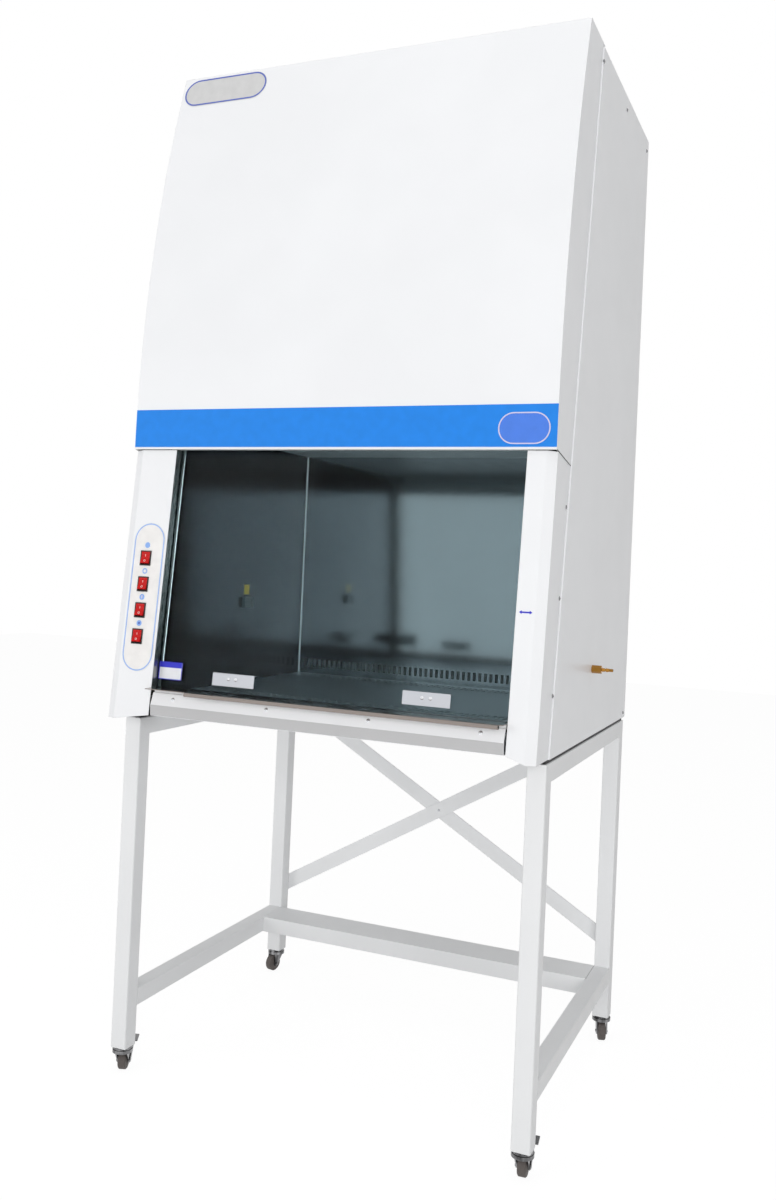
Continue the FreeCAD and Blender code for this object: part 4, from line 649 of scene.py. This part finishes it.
# %% Rivets of the hood
RIVET_PITCH, RIVET_SETBACK, RIVET_RADIUS = 76 * MM, 9 * MM, 2.2 * MM
FIRST_BELOW_TOP, LAST_ABOVE_FOOT = 0.10, 0.05
hood_low, hood_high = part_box("hood_cover")
rivet_sites = []
height = hood_high[2] - FIRST_BELOW_TOP
while height > hood_low[2] + LAST_ABOVE_FOOT:
    front = touch("hood_cover", (0, -FAR, height), FROM_FRONT)[0].y
    for start_x, way in ((FAR, FROM_RIGHT), (-FAR, FROM_LEFT)):
        rivet_sites.append(touch("hood_cover", (start_x, front + RIVET_SETBACK, height), way))
    height -= RIVET_PITCH
settle("hood_rivets", facing_points("hood_rivet_points", rivet_sites), HEADS,
       {"Head Radius": RIVET_RADIUS, "Dome": 0.35, "Cross Depth": -1 * MM,
        "Material": cabinet_coat}, "cabinet")

# %% [markdown]
# ## Screws of the finger plates
#
# Each finger plate is clamped to the glass by two domed screws. They ride on the sash, and
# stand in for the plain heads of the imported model. Each plain head's corners are gathered by
# their place across the cabinet, which gives its centre. The plate has a hole under the head, so
# the ray is sent beside the hole and the place is moved back along the leaning plate.

# %% Screws of the finger plates
HANDLE_SCREW_RADIUS, BESIDE_HOLE = 3.9 * MM, 6 * MM
GATHER, APART = 0.0085, 0.010
screws_by_column = {}
for corner in nodes["sash_handle_screws"].data.vertices:
    screws_by_column.setdefault(round(corner.co.x / GATHER), []).append(corner.co)
centres = []
for group in sorted(screws_by_column):
    xs = [point.x for point in screws_by_column[group]]
    zs = [point.z for point in screws_by_column[group]]
    middle = ((min(xs) + max(xs)) / 2, (min(zs) + max(zs)) / 2)
    if not centres or middle[0] - centres[-1][0] > APART:
        centres.append(middle)
handle_sites = []
for x, z in centres:
    place, facing = touch("sash_handles", (x, -FAR, z + BESIDE_HOLE), FROM_FRONT)
    handle_sites.append((place - Vector((0, BESIDE_HOLE * facing.z, BESIDE_HOLE)), facing))
plate_screws = settle("finger_plate_screws", facing_points("finger_plate_points", handle_sites),
                      HEADS, {"Head Radius": HANDLE_SCREW_RADIUS, "Dome": 0.55,
                              "Cross Depth": 1.2 * MM, "Material": bright_screw},
                      "sash")
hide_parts("sash_handle_screws")
print("finger plate screws at", [tuple(round(v, 3) for v in c) for c in centres])

# %% [markdown]
# ## Perforated work surface with Geometry Nodes
#
# The work surface is one stainless sheet with two strips of punched slots, where the air leaves
# the chamber in front and behind. The outlines of all slots and of the sheet are curves in one
# plane. Fill Curve turns them into a sheet with holes, and an extrusion gives the walls of
# every slot, so the sheet is one closed solid.

# %% Tree for the punched sheet
def punched_sheet_tree():
    tree, given, output = new_tree("punched_sheet", [
        ("Width", "NodeSocketFloat", 0.8), ("Depth", "NodeSocketFloat", 0.6),
        ("Thickness", "NodeSocketFloat", 0.0015), ("Slot Length", "NodeSocketFloat", 0.021),
        ("Slot Width", "NodeSocketFloat", 0.008), ("Slots", "NodeSocketInt", 50),
        ("Slot Pitch", "NodeSocketFloat", 0.0144), ("Row Gap", "NodeSocketFloat", 0.026),
        ("Front Strip", "NodeSocketFloat", -0.25), ("Rear Strip", "NodeSocketFloat", 0.25),
        ("Material", "NodeSocketMaterial", None)])
    edge = add_node(tree, "GeometryNodeCurvePrimitiveQuadrilateral", {
        "Width": given.outputs["Width"], "Height": given.outputs["Depth"]})
    slot_box = add_node(tree, "GeometryNodeCurvePrimitiveQuadrilateral", {
        "Width": given.outputs["Slot Width"], "Height": given.outputs["Slot Length"]})
    slot = add_node(tree, "GeometryNodeFilletCurve", {
        "Curve": slot_box.outputs[0], "Count": 3,
        "Radius": maths(tree, "MULTIPLY", given.outputs["Slot Width"], 0.49)}, mode="POLY")
    steps = maths(tree, "SUBTRACT", given.outputs["Slots"], 1)
    places = add_node(tree, "GeometryNodeMeshGrid", {
        "Size X": maths(tree, "MULTIPLY", steps, given.outputs["Slot Pitch"]),
        "Size Y": given.outputs["Row Gap"], "Vertices X": given.outputs["Slots"],
        "Vertices Y": 2})
    strip = add_node(tree, "GeometryNodeInstanceOnPoints", {
        "Points": places.outputs[0], "Instance": slot.outputs[0]})
    outlines = add_node(tree, "GeometryNodeJoinGeometry")
    tree.links.new(edge.outputs[0], outlines.inputs[0])
    for label in ("Front Strip", "Rear Strip"):
        shift = add_node(tree, "ShaderNodeCombineXYZ", {"Y": given.outputs[label]})
        moved = add_node(tree, "GeometryNodeTransform", {"Geometry": strip.outputs[0],
                                                         "Translation": shift.outputs[0]})
        tree.links.new(moved.outputs[0], outlines.inputs[0])
    curves = add_node(tree, "GeometryNodeRealizeInstances", {"Geometry": outlines.outputs[0]})
    sheet = add_node(tree, "GeometryNodeFillCurve", {"Curve": curves.outputs[0]})
    raised = add_node(tree, "GeometryNodeExtrudeMesh", {
        "Mesh": sheet.outputs[0], "Offset": (0, 0, 1), "Individual": False,
        "Offset Scale": given.outputs["Thickness"]}, mode="FACES")
    underside = add_node(tree, "GeometryNodeFlipFaces", {"Mesh": sheet.outputs[0]})
    solid = add_node(tree, "GeometryNodeJoinGeometry")
    tree.links.new(raised.outputs[0], solid.inputs[0])
    tree.links.new(underside.outputs[0], solid.inputs[0])
    merged = add_node(tree, "GeometryNodeMergeByDistance", {"Geometry": solid.outputs[0],
                                                            "Distance": 0.00005})
    end_tree(tree, given, output, merged.outputs[0])
    return tree


# %% Punched work surface
STRIP_INSET, FRONT_STRIP_DEPTH, PLAIN_ENDS = 48 * MM, -0.226, 20 * MM
SLOT_PITCH, SLOT_LENGTH, SLOT_WIDTH, ROW_GAP = 14.4 * MM, 21 * MM, 8 * MM, 27 * MM
deck_low, deck_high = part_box("work_surface")
deck_width, deck_depth = deck_high[0] - deck_low[0], deck_high[1] - deck_low[1]
slot_count = int((deck_width - PLAIN_ENDS) / SLOT_PITCH)
work_surface = settle("punched_work_surface", bpy.data.meshes.new("work_surface_seed"),
                      punched_sheet_tree(), {
    "Width": deck_width, "Depth": deck_depth, "Thickness": deck_high[2] - deck_low[2],
    "Slot Length": SLOT_LENGTH, "Slot Width": SLOT_WIDTH, "Slots": slot_count,
    "Slot Pitch": SLOT_PITCH, "Row Gap": ROW_GAP,
    "Front Strip": FRONT_STRIP_DEPTH - (deck_low[1] + deck_high[1]) / 2,
    "Rear Strip": deck_depth / 2 - STRIP_INSET, "Material": deck_steel_painted_light}, "cabinet")
middle = Vector(((deck_low[0] + deck_high[0]) / 2, (deck_low[1] + deck_high[1]) / 2, deck_low[2]))
work_surface.data.transform(Matrix.Translation(middle))
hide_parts("work_surface")

# %% [markdown]
# ## Sealed seams of the chamber
#
# Clear sealant fills the upright corners at the back of the chamber, and a polished bead edges
# the sash guides. Both show as thin bright lines; the sealant is pale and glows a little, which
# is a painted highlight. Each is a curve along the walls with a round bevel, turned into a plain
# mesh.

# %% Sealed seams of the chamber
back_y = touch("chamber_back_wall", (0, -FAR, 1.2), FROM_FRONT)[0].y
left_x = touch("chamber_side_walls", (0, 0, 1.2), FROM_RIGHT)[0].x
right_x = touch("chamber_side_walls", (0, 0, 1.2), FROM_LEFT)[0].x
CEILING_LEVEL, GUIDE_ENDS = 1.402, (0.866, 1.396)
SEALANT_RADIUS, BEAD_RADIUS, IN_GUIDE = 2.2 * MM, 1.6 * MM, 8 * MM


def seam(name, path, radius, material):
    """A bead of round section along a path of straight runs."""
    data = bpy.data.curves.new(name, "CURVE")
    data.dimensions, data.bevel_depth, data.bevel_resolution = "3D", radius, 2
    data.use_fill_caps = True
    run = data.splines.new("POLY")
    run.points.add(len(path) - 1)
    for point, place in zip(run.points, path):
        point.co = (*place, 1)
    source = bpy.data.objects.new(name + "_path", data)
    bpy.context.scene.collection.objects.link(source)
    mesh = bpy.data.meshes.new_from_object(
        source.evaluated_get(bpy.context.evaluated_depsgraph_get()))
    bpy.data.objects.remove(source)
    mesh.materials.clear()
    mesh.materials.append(material)
    return place_piece(name, mesh, "cabinet")


for side, x in (("left", left_x + 1 * MM), ("right", right_x - 1 * MM)):
    seam(f"corner_seam_{side}", [(x, back_y - 1 * MM, deck_high[2]),
                                 (x, back_y - 1 * MM, CEILING_LEVEL)],
         SEALANT_RADIUS, sealant_painted_highlight)

for side, middle_x, way in (("left", left_x + IN_GUIDE, FROM_RIGHT),
                            ("right", right_x - IN_GUIDE, FROM_LEFT)):
    run = []
    for height in GUIDE_ENDS:
        rear = touch("sash_guides", (middle_x, FAR, height), FROM_BEHIND)[0]
        face = touch("sash_guides", (0, rear.y - 1 * MM, height), way)[0]
        run.append((face.x, rear.y - 0.5 * MM, height))
    seam(f"guide_edge_{side}", run, BEAD_RADIUS, bright_screw)

# %% [markdown]
# ## Joint between hood and columns
#
# The hood's side flange drops towards the rear, and the column ends just below it. A thin dark
# strip laid in that joint paints the shadow of the gap.

# %% Joint between hood and columns
HOOD_FOOT, FLANGE_FRONT, FLANGE_REAR = 1.3535, 1.3560, (-0.268, 1.3360)
JOINT_DROP, STRIP_RADIUS = 3.0 * MM, 0.9 * MM
front = touch("hood_cover", (0, -FAR, HOOD_FOOT), FROM_FRONT)[0].y
for side, x, way in (("left", -FAR, FROM_LEFT), ("right", FAR, FROM_RIGHT)):
    first = touch("hood_cover", (x, front + 4 * MM, FLANGE_FRONT), way)[0]
    last = touch("hood_cover", (x, *FLANGE_REAR), way)[0]
    run = [(first.x, first.y, first.z - JOINT_DROP - 1 * MM),
           (last.x, last.y, last.z - JOINT_DROP)]
    seam(f"hood_joint_{side}", run, STRIP_RADIUS, black_rubber_and_painted_shadow)

# %% [markdown]
# ## Printed film
#
# The name plate, the switch panel's border, the icons, the stickers and the band's badge are
# thin printed film. Each is cut from an outline and laid on a site. A film with a hole is a
# frame. Words and marks of a maker are left off, so the plates are bare.

# %% Outlines and film
def rounded_box(width, height, radius, steps=8):
    """Outline of a box with round corners, turning left from its lower right corner."""
    points = []
    for corner, (side, end) in enumerate(((1, -1), (1, 1), (-1, 1), (-1, -1))):
        for step in range(steps + 1):
            angle = math.radians(90 * (corner - 1 + step / steps))
            points.append((side * (width / 2 - radius) + radius * math.cos(angle),
                           end * (height / 2 - radius) + radius * math.sin(angle)))
    return points


def disc(radius):
    return rounded_box(2 * radius, 2 * radius, radius * 0.999)


FILM = 0.35 * MM


def film(name, site, outline, material, body, hole=None, shift=(0, 0),
         level=0):
    """A film with an outline, laid on a site; level counts the films that it lies on."""
    bottom, top = level * FILM + 0.02 * MM, (level + 1) * FILM
    loops = [[(u + shift[0], v + shift[1]) for u, v in loop] for loop in (outline, hole) if loop]
    made = bmesh.new()
    rings = [[[made.verts.new(lay(site, u, v, out)) for u, v in loop] for loop in loops]
             for out in (bottom, top)]
    count = len(outline)
    for step in range(count):
        follow = (step + 1) % count
        for loop in range(len(loops)):
            made.faces.new([rings[0][loop][step], rings[0][loop][follow],
                            rings[1][loop][follow], rings[1][loop][step]])
        if hole:
            for ring in rings:
                made.faces.new([ring[0][step], ring[0][follow], ring[1][follow], ring[1][step]])
    if not hole:
        for ring in rings:
            made.faces.new(ring[0])
    bmesh.ops.recalc_face_normals(made, faces=made.faces)
    mesh = bpy.data.meshes.new(name)
    made.to_mesh(mesh)
    made.free()
    mesh.materials.append(material)
    return place_piece(name, mesh, body)


def framed_plate(name, site, width, height, radius, line, fill, ink, body, inset=0.0):
    """A plate of film with a printed line along its edge."""
    if fill:
        film(name + "_card", site, rounded_box(width, height, radius), fill, body)
    film(name + "_border", site,
         rounded_box(width - 2 * inset, height - 2 * inset, radius - inset), ink, body,
         hole=rounded_box(width - 2 * (inset + line), height - 2 * (inset + line),
                          max(radius - inset - line, 0.2 * MM)), level=1 if fill else 0)


# %% [markdown]
# ## Name plate and badge, both bare
#
# The plate at the top left of the hood is grey film with a blue border and round ends. The
# badge on the blue band is a pale ring around a slightly bluer field.

# %% Name plate and badge
plate_site = site_on("hood_cover", (-0.3555, -FAR, 2.171), FROM_FRONT)
framed_plate("name_plate", plate_site, width=0.211, height=0.070, radius=0.0349, line=3.2 * MM,
             fill=grey_card, ink=ink_blue, body="cabinet", inset=1 * MM)
badge_site = site_on("colour_band", (0.4035, -FAR, 1.392), FROM_FRONT)
framed_plate("band_badge", badge_site, width=0.101, height=0.060, radius=0.0299, line=2.4 * MM,
             fill=badge_blue, ink=ink_pale, body="cabinet")

# %% [markdown]
# ## Grey skirt of the apron
#
# The lower band of the apron is painted grey for the shade that it lies in, where the upper band
# is white. The grey is laid as a thin coat over the band, from one column to the other.

# %% Grey skirt of the apron
apron_low, apron_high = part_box("front_apron")
SKIRT_HEIGHT = 21.6 * MM
apron_middle = (apron_low[0] + apron_high[0]) / 2
skirt_site = site_on("front_apron", (apron_middle, -FAR, apron_low[2] + SKIRT_HEIGHT / 2 + 1 * MM),
                     FROM_FRONT)
film("apron_skirt_painted_shade", skirt_site,
     rounded_box(apron_high[0] - apron_low[0] - 2 * MM, SKIRT_HEIGHT, 0.4 * MM), grey_painted_shade,
     "cabinet")

# %% [markdown]
# ## Switch panel
#
# The film of the switch panel has a pale blue border. Above each rocker is a round icon: a
# disc with a dot for the blower, a disc with a bar for the germicidal tube, a ring for the room
# light and a plain disc. The rockers carry the usual line and circle for on and off.

# %% Switch panel
switch_low, switch_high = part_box("switch_plate")
panel_x = (switch_low[0] + switch_high[0]) / 2
panel_z = (switch_low[2] + switch_high[2]) / 2
panel_site = site_on("switch_plate", (panel_x, -FAR, panel_z), FROM_FRONT)
panel_length = Vector((0, switch_high[1] - switch_low[1], switch_high[2] - switch_low[2])).length
panel_width = switch_high[0] - switch_low[0]
framed_plate("switch_panel", panel_site, width=panel_width - 1 * MM,
             height=panel_length - 2 * MM, radius=panel_width / 2 - 1 * MM, line=2.6 * MM,
             fill=None, ink=ink_sky, body="cabinet", inset=0.6 * MM)

ICON_RADIUS, ICON_RISE, ON_RISE, OFF_DROP, ROCKERS = 6.2 * MM, 27 * MM, 5 * MM, 6 * MM, 4
for number in range(1, ROCKERS + 1):
    low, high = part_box(f"rocker_{number}")
    rocker_x, rocker_z = (low[0] + high[0]) / 2, (low[2] + high[2]) / 2
    icon = site_on("switch_plate", (rocker_x + 1 * MM, -FAR, rocker_z + ICON_RISE), FROM_FRONT)
    name = f"icon_{number}"
    if number == 3:
        film(name, icon, disc(ICON_RADIUS), ink_sky, "cabinet", hole=disc(ICON_RADIUS * 0.55))
    else:
        film(name, icon, disc(ICON_RADIUS), ink_blue_light, "cabinet")
    if number == 2:
        film(name + "_bar", icon, rounded_box(3 * MM, 7 * MM, 1.4 * MM), ink_pale, "cabinet",
             level=1)
    if number == 1:
        film(name + "_dot", icon, disc(2.6 * MM), ink_blue, "cabinet", level=1)
    body = f"rocker_{number}"
    on_mark = site_on(body, (rocker_x, -FAR, rocker_z + ON_RISE), FROM_FRONT)
    off_mark = site_on(body, (rocker_x, -FAR, rocker_z - OFF_DROP), FROM_FRONT)
    film(f"on_mark_{number}", on_mark, rounded_box(1 * MM, 4.4 * MM, 0.4 * MM), ink_white, body)
    film(f"off_mark_{number}", off_mark, disc(2.3 * MM), ink_white, body,
         hole=disc(1.5 * MM))

# %% [markdown]
# ## Bare stickers
#
# A white card with a blue head is stuck to the glass, a plain double arrow to the right column
# and a yellow square to the chamber wall above the socket. All are left without words.

# %% Bare stickers
glass_site = site_on("sash_glass", (-0.3315, -FAR, 0.885), FROM_FRONT)
framed_plate("glass_card", glass_site, width=0.057, height=0.037, radius=1.2 * MM,
             line=1.6 * MM, fill=card_white, ink=ink_deep, body="sash")
film("glass_card_head", glass_site, rounded_box(0.053, 0.011, 0.5 * MM), ink_deep, "sash",
     shift=(0, 0.012), level=1)
arrow_site = site_on("column_right", (0.4295, -FAR, 1.052), FROM_FRONT)
REACH, NECK, HEAD, SHAFT = 12.5 * MM, 7.5 * MM, 3.4 * MM, 1.4 * MM
half = [(-REACH, 0), (-NECK, -HEAD), (-NECK, -SHAFT), (NECK, -SHAFT), (NECK, -HEAD)]
film("column_arrow", arrow_site, half + [(-u, -v) for u, v in half], ink_deep, "cabinet")
socket_low, socket_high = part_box("power_socket")
socket_y = (socket_low[1] + socket_high[1]) / 2
STICKER_RISE = 18 * MM
sticker_site = site_on("chamber_side_walls", (0, socket_y, socket_high[2] + STICKER_RISE),
                       FROM_RIGHT)
framed_plate("socket_sticker", sticker_site, width=0.026, height=0.026, radius=1.5 * MM,
             line=1.4 * MM, fill=card_yellow, ink=ink_dark, body="cabinet")
